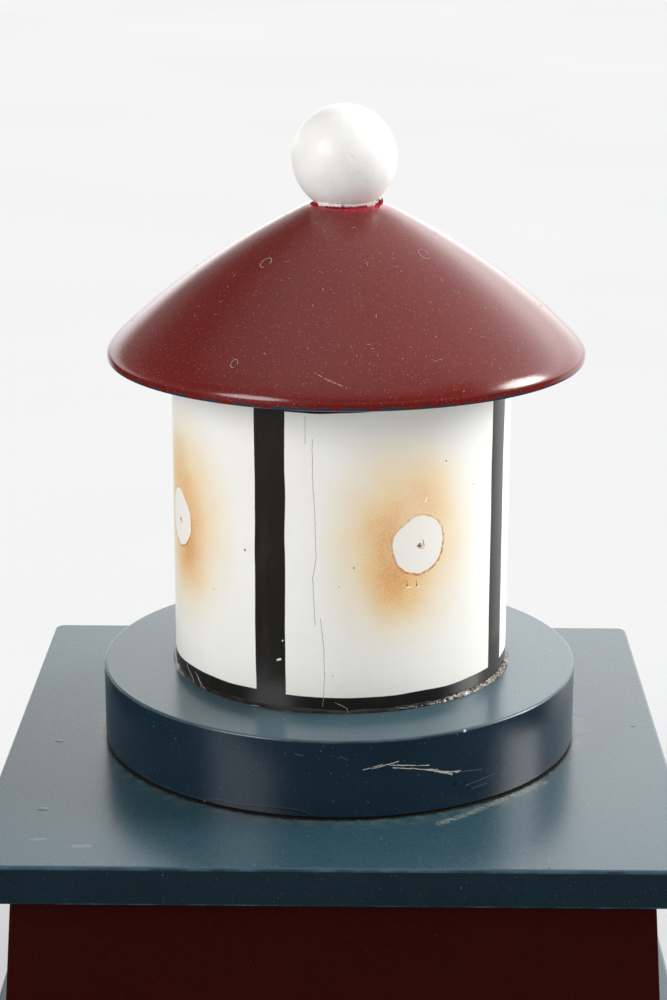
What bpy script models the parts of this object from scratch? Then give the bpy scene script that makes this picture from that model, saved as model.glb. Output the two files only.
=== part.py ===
"""A painted wooden model lighthouse: a tapered board tower on a square base, a square
gallery slab, a round gallery disc, a solid lantern drum, a turned conical roof and a ball
finial, with the screws, dowels, battens and glue blocks that hold them together.

Metres, +Z up. The origin is the centre of the base slab's underside, and -Y is the front.
"""

import math

import bmesh
import bpy
from mathutils import Vector

# Driving dimensions
GAP = 0.0003               # between pieces that touch
SLAB_SIDE = 0.340          # square gallery slab
BOARD_THICKNESS = 0.0195   # gallery slab and base slab
BASE_SIDE = 0.371
TOWER_HEIGHT = 0.136
TOWER_TOP_HALF = 0.1522    # half the tower's width under the gallery slab
TOWER_TAPER = 0.0645       # growth of that half width per metre downwards
TOWER_WALL = 0.012
DISC_RADIUS = 0.1237
DISC_HEIGHT = 0.0407
DRUM_RADIUS = 0.0867
DRUM_HEIGHT = 0.1610
ROOF_RADIUS = 0.1214
ROOF_HEIGHT = 0.0783       # rim's underside to the flat top under the ball
ROOF_TOP_RADIUS = 0.0170
BALL_RADIUS = 0.0265
BALL_SEAT_RADIUS = 0.0160
BALL_SEAT_HEIGHT = 0.0010  # short straight foot under the ball's curve

# The round pieces stand a little behind the slab's centre, and drift to the right upwards
DISC_CENTRE = (0.0011, 0.0097)
DRUM_CENTRE = (0.0018, 0.0097)
ROOF_CENTRE = (0.0042, 0.0097)
BALL_CENTRE = (0.0030, 0.0097)

# Edges and facets
SLAB_CORNER = 0.005
SLAB_ROUND_OVER = 0.0035
DISC_ROUND_OVER = 0.0018
DISC_CHAMFER = 0.0010
BASE_ROUND_OVER = 0.0035
ROUND_FACETS = 72
BALL_FACETS = 48
SMALL_FACETS = 20
SCREW_FACETS = 14
CORNER_FACETS = 3
SLOPE_STEPS = 8
RIM_STEPS = 6
BALL_STEPS = 16
SHARP_ANGLE = 35           # edges steeper than this stay crisp, in degrees

# Roof outline: a slope that swells a little, then a rounded rim
SLOPE_START_RADIUS = 0.0215
SLOPE_START_HEIGHT = 0.0768
SLOPE_END_RADIUS = 0.1074
SLOPE_END_HEIGHT = 0.0197
SLOPE_SWELL = 0.0035
RIM_WIDEST_HEIGHT = 0.0045
RIM_CHAMFER = 0.0018

# Joinery
BLOCK_SIDE = 0.028
BATTEN_HEIGHT = 0.020
BATTEN_WIDTH = 0.028
FINIAL_DOWEL_RADIUS = 0.005
FINIAL_DOWEL_REACH = 0.020
STACK_DOWEL_RADIUS = 0.008
STACK_DOWEL_REACH = 0.025
DOWEL_CHAMFER = 0.0008
SCREW_SHANK_RADIUS = 0.0020
SCREW_HEAD_RADIUS = 0.0042
SCREW_HEAD_HEIGHT = 0.0032
SCREW_HEAD_RIM = 0.0003
SCREW_POINT = 0.008
SCREW_RECESS = 0.0006      # how far a head sits below the face it is driven into
SLOT_WIDTH = 0.0011
SLOT_DEPTH = 0.0012
DISC_SCREW_LENGTH = 0.045
DISC_SCREW_CIRCLE = 0.105
DRUM_SCREW_LENGTH = 0.070
DRUM_SCREW_CIRCLE = 0.050
BATTEN_SCREW_LENGTH = 0.035
BATTEN_SCREW_SPREAD = 0.090
BASE_SCREW_LENGTH = 0.045

# Heights, from the ground up
BASE_TOP = BOARD_THICKNESS
TOWER_FOOT = BASE_TOP + GAP
TOWER_HEAD = TOWER_FOOT + TOWER_HEIGHT
SLAB_BOTTOM = TOWER_HEAD + GAP
SLAB_TOP = SLAB_BOTTOM + BOARD_THICKNESS
DISC_BOTTOM = SLAB_TOP + GAP
DISC_TOP = SLAB_TOP + DISC_HEIGHT
DRUM_BOTTOM = DISC_TOP + GAP
DRUM_TOP = DRUM_BOTTOM + DRUM_HEIGHT
ROOF_BOTTOM = DRUM_TOP + GAP
ROOF_TOP = ROOF_BOTTOM + ROOF_HEIGHT
BALL_SEAT = ROOF_TOP + GAP
BALL_MIDDLE = BALL_SEAT + BALL_SEAT_HEIGHT + math.sqrt(BALL_RADIUS ** 2 - BALL_SEAT_RADIUS ** 2)


def clear_scene():
    for old in list(bpy.data.objects):
        bpy.data.objects.remove(old, do_unlink=True)


def srgb(code):
    """Linear colour of a hex code such as 7a2f2a."""
    channels = [int(code[i:i + 2], 16) / 255 for i in (0, 2, 4)]
    linear = [c / 12.92 if c <= 0.04045 else ((c + 0.055) / 1.055) ** 2.4 for c in channels]
    return (*linear, 1.0)


def finish(name, code, roughness, metallic=0.0):
    """A Principled material with one colour."""
    material = bpy.data.materials.new(name)
    material.use_nodes = True
    shader = material.node_tree.nodes["Principled BSDF"]
    shader.inputs["Base Color"].default_value = srgb(code)
    shader.inputs["Roughness"].default_value = roughness
    shader.inputs["Metallic"].default_value = metallic
    return material


def add_object(name, mesh, material):
    """Links a mesh to the scene as one named piece, round faces smooth and edges sharp."""
    mesh.materials.clear()
    if material:
        mesh.materials.append(material)
    mesh.shade_smooth()
    mesh.set_sharp_from_angle(angle=math.radians(SHARP_ANGLE))
    piece = bpy.data.objects.new(name, mesh)
    bpy.context.scene.collection.objects.link(piece)
    return piece


def mesh_from(bm, name):
    bmesh.ops.recalc_face_normals(bm, faces=bm.faces)
    mesh = bpy.data.meshes.new(name)
    bm.to_mesh(mesh)
    bm.free()
    return mesh


def turn_into(bm, outline, facets, centre):
    """Spins an outline of (radius, height) points about a vertical axis into bm."""
    earlier = set(bm.verts)
    points = [bm.verts.new((radius, 0.0, height)) for radius, height in outline]
    edges = [bm.edges.new(pair) for pair in zip(points, points[1:])]
    bmesh.ops.spin(bm, geom=points + edges, cent=(0, 0, 0), axis=(0, 0, 1), angle=math.tau,
                   steps=facets, use_merge=True)
    turned_verts = [vert for vert in bm.verts if vert not in earlier]
    bmesh.ops.translate(bm, verts=turned_verts, vec=Vector(centre))


def turned_mesh(name, bodies, facets):
    """One mesh of turned bodies, each an (outline, centre) pair."""
    bm = bmesh.new()
    for outline, centre in bodies:
        turn_into(bm, outline, facets, centre)
    bmesh.ops.remove_doubles(bm, verts=bm.verts, dist=0.00001)
    return mesh_from(bm, name)


def turned(name, outline, centre, material, facets=ROUND_FACETS):
    """A turned piece whose axis stands at centre, (x, y)."""
    mesh = turned_mesh(name, [(outline, (0.0, 0.0, 0.0))], facets)
    piece = add_object(name, mesh, material)
    piece.location = (centre[0], centre[1], 0.0)
    return piece


def rounded_corner(centre, radius, start, end, steps):
    """Points of an arc in the outline's plane, angles in degrees."""
    points = []
    for step in range(steps + 1):
        angle = math.radians(start + (end - start) * step / steps)
        points.append((centre[0] + radius * math.cos(angle), centre[1] + radius * math.sin(angle)))
    return points


def frustum(name, low, high, bottom, top, material):
    """A six-sided block. low and high give (x0, x1, y0, y1) at its bottom and its top."""
    bm = bmesh.new()
    bmesh.ops.create_cube(bm, size=2.0)
    for vert in bm.verts:
        x0, x1, y0, y1 = low if vert.co.z < 0 else high
        vert.co = (x0 if vert.co.x < 0 else x1, y0 if vert.co.y < 0 else y1,
                   bottom if vert.co.z < 0 else top)
    return add_object(name, mesh_from(bm, name), material)


def slab(name, side, bottom, round_over, material):
    """A square board with rounded corners and rounded-over edges."""
    bm = bmesh.new()
    bmesh.ops.create_cube(bm, size=1.0)
    bmesh.ops.scale(bm, vec=(side, side, BOARD_THICKNESS), verts=bm.verts)
    corners = [e for e in bm.edges if abs(e.verts[0].co.z - e.verts[1].co.z) > BOARD_THICKNESS / 2]
    bmesh.ops.bevel(bm, geom=corners, offset=SLAB_CORNER, segments=CORNER_FACETS, profile=0.5,
                    affect="EDGES", material=-1)
    faces = [f for f in bm.faces if abs(f.normal.z) > 0.9]
    rims = {e for f in faces for e in f.edges}
    bmesh.ops.bevel(bm, geom=list(rims), offset=round_over, segments=CORNER_FACETS, profile=0.5,
                    affect="EDGES", material=-1)
    piece = add_object(name, mesh_from(bm, name), material)
    piece.location = (0.0, 0.0, bottom + BOARD_THICKNESS / 2)
    return piece


def drill(piece, bodies, facets=SCREW_FACETS):
    """Cuts holes, each an (outline, centre) pair, out of a piece with one hidden cutter."""
    cutter = add_object("cutter_" + piece.name, turned_mesh("cutter", bodies, facets), None)
    cutter.display_type = "WIRE"
    cutter.hide_render = True
    cut = piece.modifiers.new("holes", "BOOLEAN")
    cut.operation = "DIFFERENCE"
    cut.solver = "EXACT"
    cut.object = cutter


def plug(radius, bottom, top):
    """Outline of a plain cylinder that closes on its axis."""
    return [(0.0, top), (radius, top), (radius, bottom), (0.0, bottom)]


def dowel_outline(radius, bottom, top):
    """A dowel with chamfered ends."""
    eased = radius - DOWEL_CHAMFER
    return [(0.0, top), (eased, top), (radius, top - DOWEL_CHAMFER),
            (radius, bottom + DOWEL_CHAMFER), (eased, bottom), (0.0, bottom)]


def screw_outline(length, grow=0.0):
    """A countersunk screw that points up from height 0, or its hole when grown."""
    shank = SCREW_SHANK_RADIUS + grow
    head = SCREW_HEAD_RADIUS + grow
    mouth = -4 * grow          # a hole runs on past the face, through the recess
    return [(0.0, length + grow), (shank, length - SCREW_POINT + grow), (shank, SCREW_HEAD_HEIGHT),
            (head, SCREW_HEAD_RIM), (head, mouth), (0.0, mouth)]


def screw_mesh(name, length):
    """A countersunk screw with a straight slot across its head."""
    template = add_object(name, turned_mesh(name, [(screw_outline(length), (0, 0, 0))],
                                            SCREW_FACETS), None)
    bm = bmesh.new()
    bmesh.ops.create_cube(bm, size=1.0)
    bmesh.ops.scale(bm, vec=(SCREW_HEAD_RADIUS * 3, SLOT_WIDTH, SLOT_DEPTH * 2), verts=bm.verts)
    slot = add_object("slot_cutter", mesh_from(bm, "slot"), None)
    cut = template.modifiers.new("slot", "BOOLEAN")
    cut.operation = "DIFFERENCE"
    cut.solver = "EXACT"
    cut.object = slot
    view = bpy.context.evaluated_depsgraph_get()
    finished = bpy.data.meshes.new_from_object(template.evaluated_get(view))
    bpy.data.objects.remove(template)
    bpy.data.objects.remove(slot)
    return finished


def place_screws(name, mesh, spots, head_height, material):
    """One object for each screw, numbered, with its head at head_height."""
    for number, (x, y) in enumerate(spots, 1):
        screw = add_object(f"{name}_{number}", mesh, material)
        screw.location = (x, y, head_height)


def screw_holes(length, spots, head_height):
    outline = screw_outline(length, GAP)
    return [(outline, (x, y, head_height)) for x, y in spots]


def circle_spots(centre, radius, count, first):
    """Points spaced evenly on a circle, the first at an angle in degrees."""
    angles = [math.radians(first + 360.0 * i / count) for i in range(count)]
    return [(centre[0] + radius * math.cos(a), centre[1] + radius * math.sin(a)) for a in angles]


def half_width(height):
    """Half the tower's outside width at a height."""
    return TOWER_TOP_HALF + TOWER_TAPER * (TOWER_HEAD - height)


def roof_outline():
    """From the flat top down the swelling slope and round the rim to the underside."""
    start = Vector((SLOPE_START_RADIUS, SLOPE_START_HEIGHT))
    end = Vector((SLOPE_END_RADIUS, SLOPE_END_HEIGHT))
    along = end - start
    outward = Vector((-along.y, along.x)).normalized()
    points = [(0.0, ROOF_HEIGHT), (ROOF_TOP_RADIUS, ROOF_HEIGHT)]
    for step in range(SLOPE_STEPS + 1):
        t = step / SLOPE_STEPS
        points.append(tuple(start + along * t + outward * (4 * SLOPE_SWELL * t * (1 - t))))
    leaving = (along - outward * (4 * SLOPE_SWELL)).normalized()
    reach = (ROOF_RADIUS - SLOPE_END_RADIUS) / leaving.x
    corner = end + leaving * reach
    widest = Vector((ROOF_RADIUS, RIM_WIDEST_HEIGHT))
    for step in range(1, RIM_STEPS + 1):
        t = step / RIM_STEPS
        points.append(tuple(end * (1 - t) ** 2 + corner * (2 * t * (1 - t)) + widest * t ** 2))
    points += [(ROOF_RADIUS - RIM_CHAMFER / 3, RIM_CHAMFER), (ROOF_RADIUS - RIM_CHAMFER, 0.0),
               (0.0, 0.0)]
    return [(radius, height + ROOF_BOTTOM) for radius, height in points]


def ball_outline():
    """A sphere on a short straight foot, cut flat where it sits on the roof."""
    seat = -math.degrees(math.acos(BALL_SEAT_RADIUS / BALL_RADIUS))
    points = rounded_corner((0.0, BALL_MIDDLE), BALL_RADIUS, 90.0, seat, BALL_STEPS)
    points[0] = (0.0, BALL_MIDDLE + BALL_RADIUS)
    return points + [(BALL_SEAT_RADIUS, BALL_SEAT), (0.0, BALL_SEAT)]


def build_finial(paint, bare_wood):
    bottom = ROOF_TOP - FINIAL_DOWEL_REACH
    top = BALL_SEAT + FINIAL_DOWEL_REACH
    hole = plug(FINIAL_DOWEL_RADIUS + GAP, BALL_SEAT - GAP, top + GAP)
    ball = turned("finial_ball", ball_outline(), BALL_CENTRE, paint, BALL_FACETS)
    drill(ball, [(hole, (*BALL_CENTRE, 0.0))], SMALL_FACETS)
    turned("finial_dowel", dowel_outline(FINIAL_DOWEL_RADIUS, bottom, top), BALL_CENTRE, bare_wood,
           facets=SMALL_FACETS)


def build_roof(paint, bare_wood):
    roof = turned("roof_cone", roof_outline(), ROOF_CENTRE, paint)
    finial_hole = plug(FINIAL_DOWEL_RADIUS + GAP, ROOF_TOP - FINIAL_DOWEL_REACH - GAP,
                       ROOF_TOP + GAP)
    stack_hole = plug(STACK_DOWEL_RADIUS + GAP, ROOF_BOTTOM - GAP,
                      ROOF_BOTTOM + STACK_DOWEL_REACH + GAP)
    drill(roof, [(finial_hole, (*BALL_CENTRE, 0.0)), (stack_hole, (*DRUM_CENTRE, 0.0))],
          SMALL_FACETS)
    dowel = dowel_outline(STACK_DOWEL_RADIUS, DRUM_TOP - STACK_DOWEL_REACH,
                          ROOF_BOTTOM + STACK_DOWEL_REACH)
    turned("roof_dowel", dowel, DRUM_CENTRE, bare_wood, facets=SMALL_FACETS)


def build_drum(paint, bare_wood, steel):
    drum = turned("lantern_drum", plug(DRUM_RADIUS, DRUM_BOTTOM, DRUM_TOP), DRUM_CENTRE, paint)
    spots = circle_spots(DRUM_CENTRE, DRUM_SCREW_CIRCLE, 3, 90.0)
    head = DISC_BOTTOM + SCREW_RECESS
    stack_holes = [(plug(STACK_DOWEL_RADIUS + GAP, DRUM_TOP - STACK_DOWEL_REACH - GAP,
                         DRUM_TOP + GAP), (*DRUM_CENTRE, 0.0)),
                   (plug(STACK_DOWEL_RADIUS + GAP, DRUM_BOTTOM - GAP,
                         DRUM_BOTTOM + STACK_DOWEL_REACH + GAP), (*DRUM_CENTRE, 0.0))]
    drill(drum, screw_holes(DRUM_SCREW_LENGTH, spots, head) + stack_holes, SMALL_FACETS)
    dowel = dowel_outline(STACK_DOWEL_RADIUS, DISC_TOP - STACK_DOWEL_REACH,
                          DRUM_BOTTOM + STACK_DOWEL_REACH)
    turned("drum_dowel", dowel, DRUM_CENTRE, bare_wood, facets=SMALL_FACETS)
    place_screws("drum_screw", screw_mesh("drum_screw", DRUM_SCREW_LENGTH), spots, head, steel)


def build_disc(paint, steel):
    edge = rounded_corner((DISC_RADIUS - DISC_ROUND_OVER, DISC_TOP - DISC_ROUND_OVER),
                          DISC_ROUND_OVER, 90.0, 0.0, 3)
    outline = [(0.0, DISC_TOP)] + edge
    outline += [(DISC_RADIUS, DISC_BOTTOM + DISC_CHAMFER), (DISC_RADIUS - DISC_CHAMFER, DISC_BOTTOM),
                (0.0, DISC_BOTTOM)]
    disc = turned("gallery_disc", outline, DISC_CENTRE, paint)
    drum_spots = circle_spots(DRUM_CENTRE, DRUM_SCREW_CIRCLE, 3, 90.0)
    disc_spots = circle_spots(DISC_CENTRE, DISC_SCREW_CIRCLE, 4, 45.0)
    head = SLAB_BOTTOM + SCREW_RECESS
    dowel_hole = plug(STACK_DOWEL_RADIUS + GAP, DISC_TOP - STACK_DOWEL_REACH - GAP, DISC_TOP + GAP)
    holes = screw_holes(DRUM_SCREW_LENGTH, drum_spots, DISC_BOTTOM + SCREW_RECESS)
    holes += screw_holes(DISC_SCREW_LENGTH, disc_spots, head)
    drill(disc, holes + [(dowel_hole, (*DRUM_CENTRE, 0.0))])
    place_screws("disc_screw", screw_mesh("disc_screw", DISC_SCREW_LENGTH), disc_spots, head, steel)


def batten_spots():
    """Where the screws pass through the battens, two in each."""
    x = half_width(TOWER_HEAD) - TOWER_WALL - GAP - BATTEN_WIDTH / 2
    return [(sx * x, sy * BATTEN_SCREW_SPREAD) for sx in (-1, 1) for sy in (-1, 1)]


def build_gallery_slab(paint):
    piece = slab("gallery_slab", SLAB_SIDE, SLAB_BOTTOM, SLAB_ROUND_OVER, paint)
    disc_spots = circle_spots(DISC_CENTRE, DISC_SCREW_CIRCLE, 4, 45.0)
    batten_head = TOWER_HEAD - BATTEN_HEIGHT + SCREW_RECESS
    holes = screw_holes(DISC_SCREW_LENGTH, disc_spots, SLAB_BOTTOM + SCREW_RECESS)
    holes += screw_holes(BATTEN_SCREW_LENGTH, batten_spots(), batten_head)
    drill(piece, holes)


def build_tower(paint):
    """Front and back boards cover the edges of the left and right boards."""
    low, high = half_width(TOWER_FOOT), half_width(TOWER_HEAD)
    for name, side in (("tower_board_front", -1), ("tower_board_back", 1)):
        spans = [(-w, w, *sorted((side * w, side * (w - TOWER_WALL)))) for w in (low, high)]
        frustum(name, spans[0], spans[1], TOWER_FOOT, TOWER_HEAD, paint)
    for name, side in (("tower_board_left", -1), ("tower_board_right", 1)):
        spans = []
        for w in (low, high):
            inner = w - TOWER_WALL - GAP
            spans.append((*sorted((side * w, side * (w - TOWER_WALL))), -inner, inner))
        frustum(name, spans[0], spans[1], TOWER_FOOT, TOWER_HEAD, paint)


def inside(height):
    """Half the clear width between the tower's boards, less a gap."""
    return half_width(height) - TOWER_WALL - GAP


def build_battens(bare_wood, steel):
    bottom = TOWER_HEAD - BATTEN_HEIGHT
    holes = screw_holes(BATTEN_SCREW_LENGTH, batten_spots(), bottom + SCREW_RECESS)
    for name, side in (("top_batten_left", -1), ("top_batten_right", 1)):
        spans = []
        for w in (inside(bottom), inside(TOWER_HEAD)):
            near, far = sorted((side * w, side * (w - BATTEN_WIDTH)))
            spans.append((near, far, -w, w))
        batten = frustum(name, spans[0], spans[1], bottom, TOWER_HEAD, bare_wood)
        drill(batten, [hole for hole in holes if hole[1][0] * side > 0])
    place_screws("batten_screw", screw_mesh("batten_screw", BATTEN_SCREW_LENGTH), batten_spots(),
                 bottom + SCREW_RECESS, steel)


def block_spots():
    """Where the base screws enter the corner blocks."""
    offset = inside(TOWER_FOOT) - BLOCK_SIDE / 2 - TOWER_TAPER * BASE_SCREW_LENGTH / 4
    return [(sx * offset, sy * offset) for sx in (-1, 1) for sy in (-1, 1)]


def build_corner_blocks(bare_wood):
    top = TOWER_HEAD - BATTEN_HEIGHT - GAP
    holes = screw_holes(BASE_SCREW_LENGTH, block_spots(), SCREW_RECESS)
    for number, (x, y) in enumerate(block_spots()):
        spans = []
        for w in (inside(TOWER_FOOT), inside(top)):
            side_x = sorted((math.copysign(w, x), math.copysign(w - BLOCK_SIDE, x)))
            side_y = sorted((math.copysign(w, y), math.copysign(w - BLOCK_SIDE, y)))
            spans.append((*side_x, *side_y))
        block = frustum(f"corner_block_{number + 1}", spans[0], spans[1], TOWER_FOOT, top,
                        bare_wood)
        drill(block, [holes[number]])


def build_base(paint, steel):
    base = slab("base_slab", BASE_SIDE, 0.0, BASE_ROUND_OVER, paint)
    drill(base, screw_holes(BASE_SCREW_LENGTH, block_spots(), SCREW_RECESS))
    place_screws("base_screw", screw_mesh("base_screw", BASE_SCREW_LENGTH), block_spots(),
                 SCREW_RECESS, steel)


def main():
    clear_scene()
    white_satin = finish("white satin enamel", "e8e6df", 0.35)
    white_matt = finish("off-white drum paint", "e9e8e2", 0.55)
    red_gloss = finish("oxide red gloss paint", "6d2a26", 0.22)
    red_tower = finish("oxide red tower paint", "5a1f1a", 0.35)
    slate_blue = finish("slate blue satin paint", "2c4453", 0.30)
    grey_green = finish("grey-green paint", "7f8b86", 0.45)
    bare_wood = finish("bare pine", "c9a878", 0.75)
    steel = finish("zinc-plated steel", "b4b4ae", 0.35, 1.0)

    build_finial(white_satin, bare_wood)
    build_roof(red_gloss, bare_wood)
    build_drum(white_matt, bare_wood, steel)
    build_disc(slate_blue, steel)
    build_gallery_slab(slate_blue)
    build_tower(red_tower)
    build_battens(bare_wood, steel)
    build_corner_blocks(bare_wood)
    build_base(grey_green, steel)


main()
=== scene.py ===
import math
import random

import bmesh
import bpy
from mathutils import Matrix, Vector, noise


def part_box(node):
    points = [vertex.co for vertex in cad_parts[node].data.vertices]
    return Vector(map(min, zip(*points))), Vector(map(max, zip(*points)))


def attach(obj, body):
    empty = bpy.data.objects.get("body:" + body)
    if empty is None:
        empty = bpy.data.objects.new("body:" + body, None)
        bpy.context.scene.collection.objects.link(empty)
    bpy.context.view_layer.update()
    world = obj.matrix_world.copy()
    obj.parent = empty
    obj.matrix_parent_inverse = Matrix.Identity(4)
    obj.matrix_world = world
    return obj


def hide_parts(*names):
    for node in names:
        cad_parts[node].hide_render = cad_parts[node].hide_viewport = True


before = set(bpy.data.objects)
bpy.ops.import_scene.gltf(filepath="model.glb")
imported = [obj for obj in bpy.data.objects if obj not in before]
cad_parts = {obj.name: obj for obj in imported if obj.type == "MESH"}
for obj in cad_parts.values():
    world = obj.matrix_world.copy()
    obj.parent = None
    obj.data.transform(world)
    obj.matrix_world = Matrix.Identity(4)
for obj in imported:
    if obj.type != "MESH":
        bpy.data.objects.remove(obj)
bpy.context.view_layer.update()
mm = 0.001

slabLow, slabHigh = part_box("gallery_slab")
discLow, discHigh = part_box("gallery_disc")
drumLow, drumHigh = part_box("lantern_drum")
roofLow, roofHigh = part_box("roof_cone")
ballLow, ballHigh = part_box("finial_ball")
baseLow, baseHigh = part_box("base_slab")
slabTop = slabHigh.z  # heights on the turned pieces are counted from here


# Colour and node helpers

def toLinear(code):
    parts = [int(code[i:i + 2], 16) / 255 for i in (1, 3, 5)]
    return [c / 12.92 if c <= 0.04045 else ((c + 0.055) / 1.055) ** 2.4 for c in parts] + [1.0]


def addNode(tree, kind, inputs=(), output=0, **settings):
    # one node with its settings, values and links; gives back the output that is asked for
    node = tree.nodes.new(kind if kind.startswith("Node") else "ShaderNode" + kind)
    for name, value in settings.items():
        setattr(node, name, value)
    for key, value in inputs.items() if isinstance(inputs, dict) else enumerate(inputs):
        if isinstance(value, bpy.types.NodeSocket):
            tree.links.new(value, node.inputs[key])
        else:
            node.inputs[key].default_value = value
    return node.outputs[output] if len(node.outputs) else node


def startFinish(name):
    material = bpy.data.materials.new(name)
    material.use_nodes = True
    material.node_tree.nodes.clear()
    tree = material.node_tree
    place = addNode(tree, "TexCoord", output="Object")
    place = addNode(tree, "VectorMath", {0: place, "Scale": 1 / mm}, operation="SCALE")
    return material, tree, place  # the place is on the whole object, in millimetres


def endFinish(tree, values, height=None, depth=0.1):
    # the height goes from 0 to 1 and stands for that depth in millimetres
    if height:
        values["Normal"] = addNode(tree, "Bump", {"Height": height, "Strength": 1.0,
                                                  "Distance": depth * mm})
    shader = addNode(tree, "BsdfPrincipled", values)
    addNode(tree, "OutputMaterial", [shader])


def layPaint(tree, ground, layers):
    # coats of colour over each other: each has its mask, its colour and how much of it shows
    for mask, colour, *share in layers:
        if share:
            mask = addNode(tree, "Math", [mask, *share], operation="MULTIPLY")
        ground, colour = [toLinear(c) if isinstance(c, str) else c for c in (ground, colour)]
        ground = addNode(tree, "Mix", {0: mask, 6: ground, 7: colour}, 2, data_type="RGBA")
    return ground


def joinMasks(tree, masks, operation="MAXIMUM"):
    total = masks[0]
    for mask in masks[1:]:
        total = addNode(tree, "Math", [total, mask], operation=operation, use_clamp=True)
    return total


def patches(tree, place, size, low, high, detail=3.0, stretch=(1, 1, 1), strength=1.0):
    # soft random patches, about that size in millimetres
    drawn = addNode(tree, "VectorMath", [place, stretch], operation="MULTIPLY")
    field = addNode(tree, "TexNoise", {"Vector": drawn, "Scale": 1 / size, "Detail": detail})
    return addNode(tree, "MapRange", [field, low, high, 0.0, strength])


def specks(tree, place, spacing, size, share, strength=1.0):
    # scattered round specks: one to a cell of the spacing, in that share of the cells
    cell = addNode(tree, "TexVoronoi", {"Vector": place, "Scale": 1 / spacing})
    chance = addNode(tree, "SeparateXYZ", [cell.node.outputs["Color"]])
    chosen = addNode(tree, "Math", [chance, 1 - share], operation="GREATER_THAN")
    dot = addNode(tree, "MapRange", [cell, 0.3 * size / spacing, size / spacing, strength, 0.0])
    return joinMasks(tree, [chosen, dot], "MULTIPLY")


def between(tree, value, low, high, soft=0.2):
    # 1 where the value lies between low and high
    rise = addNode(tree, "MapRange", [value, low - soft, low + soft, 0.0, 1.0])
    fall = addNode(tree, "MapRange", [value, high - soft, high + soft, 1.0, 0.0])
    return joinMasks(tree, [rise, fall], "MULTIPLY")


def sway(tree, place, scale, detail, reach, start=None):
    # the place shifted softly to and fro, by up to half that reach in millimetres
    drift = addNode(tree, "TexNoise", {"Vector": place, "Scale": scale, "Detail": detail},
                    output="Color")
    drift = addNode(tree, "VectorMath", [drift, (0.5, 0.5, 0.5)], operation="SUBTRACT")
    return addNode(tree, "VectorMath", [drift, reach, start or place], operation="MULTIPLY_ADD")


def roundReach(tree, place, centre):
    # how far the place is from an upright axis, in millimetres
    away = addNode(tree, "VectorMath", [place, centre / mm], operation="SUBTRACT")
    away = addNode(tree, "VectorMath", [away, (1, 1, 0)], operation="MULTIPLY")
    return addNode(tree, "VectorMath", [away], "Value", operation="LENGTH")


def squareReach(tree, place):
    # how far the place is from the middle towards the nearest side of a square
    sides = addNode(tree, "SeparateXYZ", [place]).node.outputs[:2]
    sides = [addNode(tree, "Math", [side], operation="ABSOLUTE") for side in sides]
    return addNode(tree, "Math", sides, operation="MAXIMUM")


def makeStrokeGroup():
    # mask of one straight stroke between two points, with soft ends
    group = bpy.data.node_groups.new("strokeMask", "ShaderNodeTree")
    for name in ("Place", "Start", "End"):
        group.interface.new_socket(name, in_out="INPUT", socket_type="NodeSocketVector")
    group.interface.new_socket("Width", in_out="INPUT", socket_type="NodeSocketFloat")
    group.interface.new_socket("Mask", in_out="OUTPUT", socket_type="NodeSocketFloat")
    place = addNode(group, "NodeGroupInput")
    start, end, width = [place.node.outputs[name] for name in ("Start", "End", "Width")]
    reach = addNode(group, "VectorMath", [place, start], operation="SUBTRACT")
    run = addNode(group, "VectorMath", [end, start], operation="SUBTRACT")
    along = addNode(group, "VectorMath", [reach, run], "Value", operation="DOT_PRODUCT")
    whole = addNode(group, "VectorMath", [run, run], "Value", operation="DOT_PRODUCT")
    share = addNode(group, "Math", [along, whole], operation="DIVIDE", use_clamp=True)
    nearest = addNode(group, "VectorMath", {0: run, "Scale": share}, operation="SCALE")
    away = addNode(group, "VectorMath", [reach, nearest], "Value", operation="DISTANCE")
    half = addNode(group, "Math", [width, 0.5], operation="MULTIPLY")
    inner = addNode(group, "Math", [half, 0.35], operation="MULTIPLY")
    mask = addNode(group, "MapRange", [away, inner, half, 1.0, 0.0])
    addNode(group, "NodeGroupOutput", [mask])
    return group


strokeGroup = makeStrokeGroup()


def strokes(tree, place, lines):
    # the lines are (start, end, width) in millimetres, on the piece's map or on the object
    masks = []
    for start, end, width in lines:
        masks.append(addNode(tree, "Group", {"Place": place, "Start": Vector(start).to_3d(),
                                             "End": Vector(end).to_3d(), "Width": width},
                             node_tree=strokeGroup))
    return joinMasks(tree, masks)


def dots(tree, place, spots):
    # the spots are (middle, radius) in millimetres
    masks = []
    for middle, radius in spots:
        away = addNode(tree, "VectorMath", [place, (*middle, 0)], "Value", operation="DISTANCE")
        masks.append(addNode(tree, "MapRange", [away, radius * 0.5, radius, 1.0, 0.0]))
    return joinMasks(tree, masks)


def fillRamp(output, stops):
    ramp = output.node.color_ramp
    for position, colour in stops:
        point = ramp.elements[0] if position == 0 else ramp.elements[-1] if position == 1 \
            else ramp.elements.new(position)
        point.position, point.color = position, colour


def pathLines(points, width):
    return [(a, b, width) for a, b in zip(points, points[1:])]


# Mesh helpers

def axisOf(low, high):
    return Vector(((low.x + high.x) / 2, (low.y + high.y) / 2, 0))


def meshFrom(name, form):
    mesh = bpy.data.meshes.new(name)
    form.to_mesh(mesh)
    form.free()
    return mesh


def placeObject(name, content):
    thing = bpy.data.objects.new(name, content)
    bpy.context.scene.collection.objects.link(thing)
    return thing


def mergeForm(form, nearest=0.002 * mm):
    bmesh.ops.remove_doubles(form, verts=form.verts, dist=nearest)
    bmesh.ops.dissolve_degenerate(form, edges=form.edges, dist=nearest)
    bmesh.ops.recalc_face_normals(form, faces=form.faces)


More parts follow.
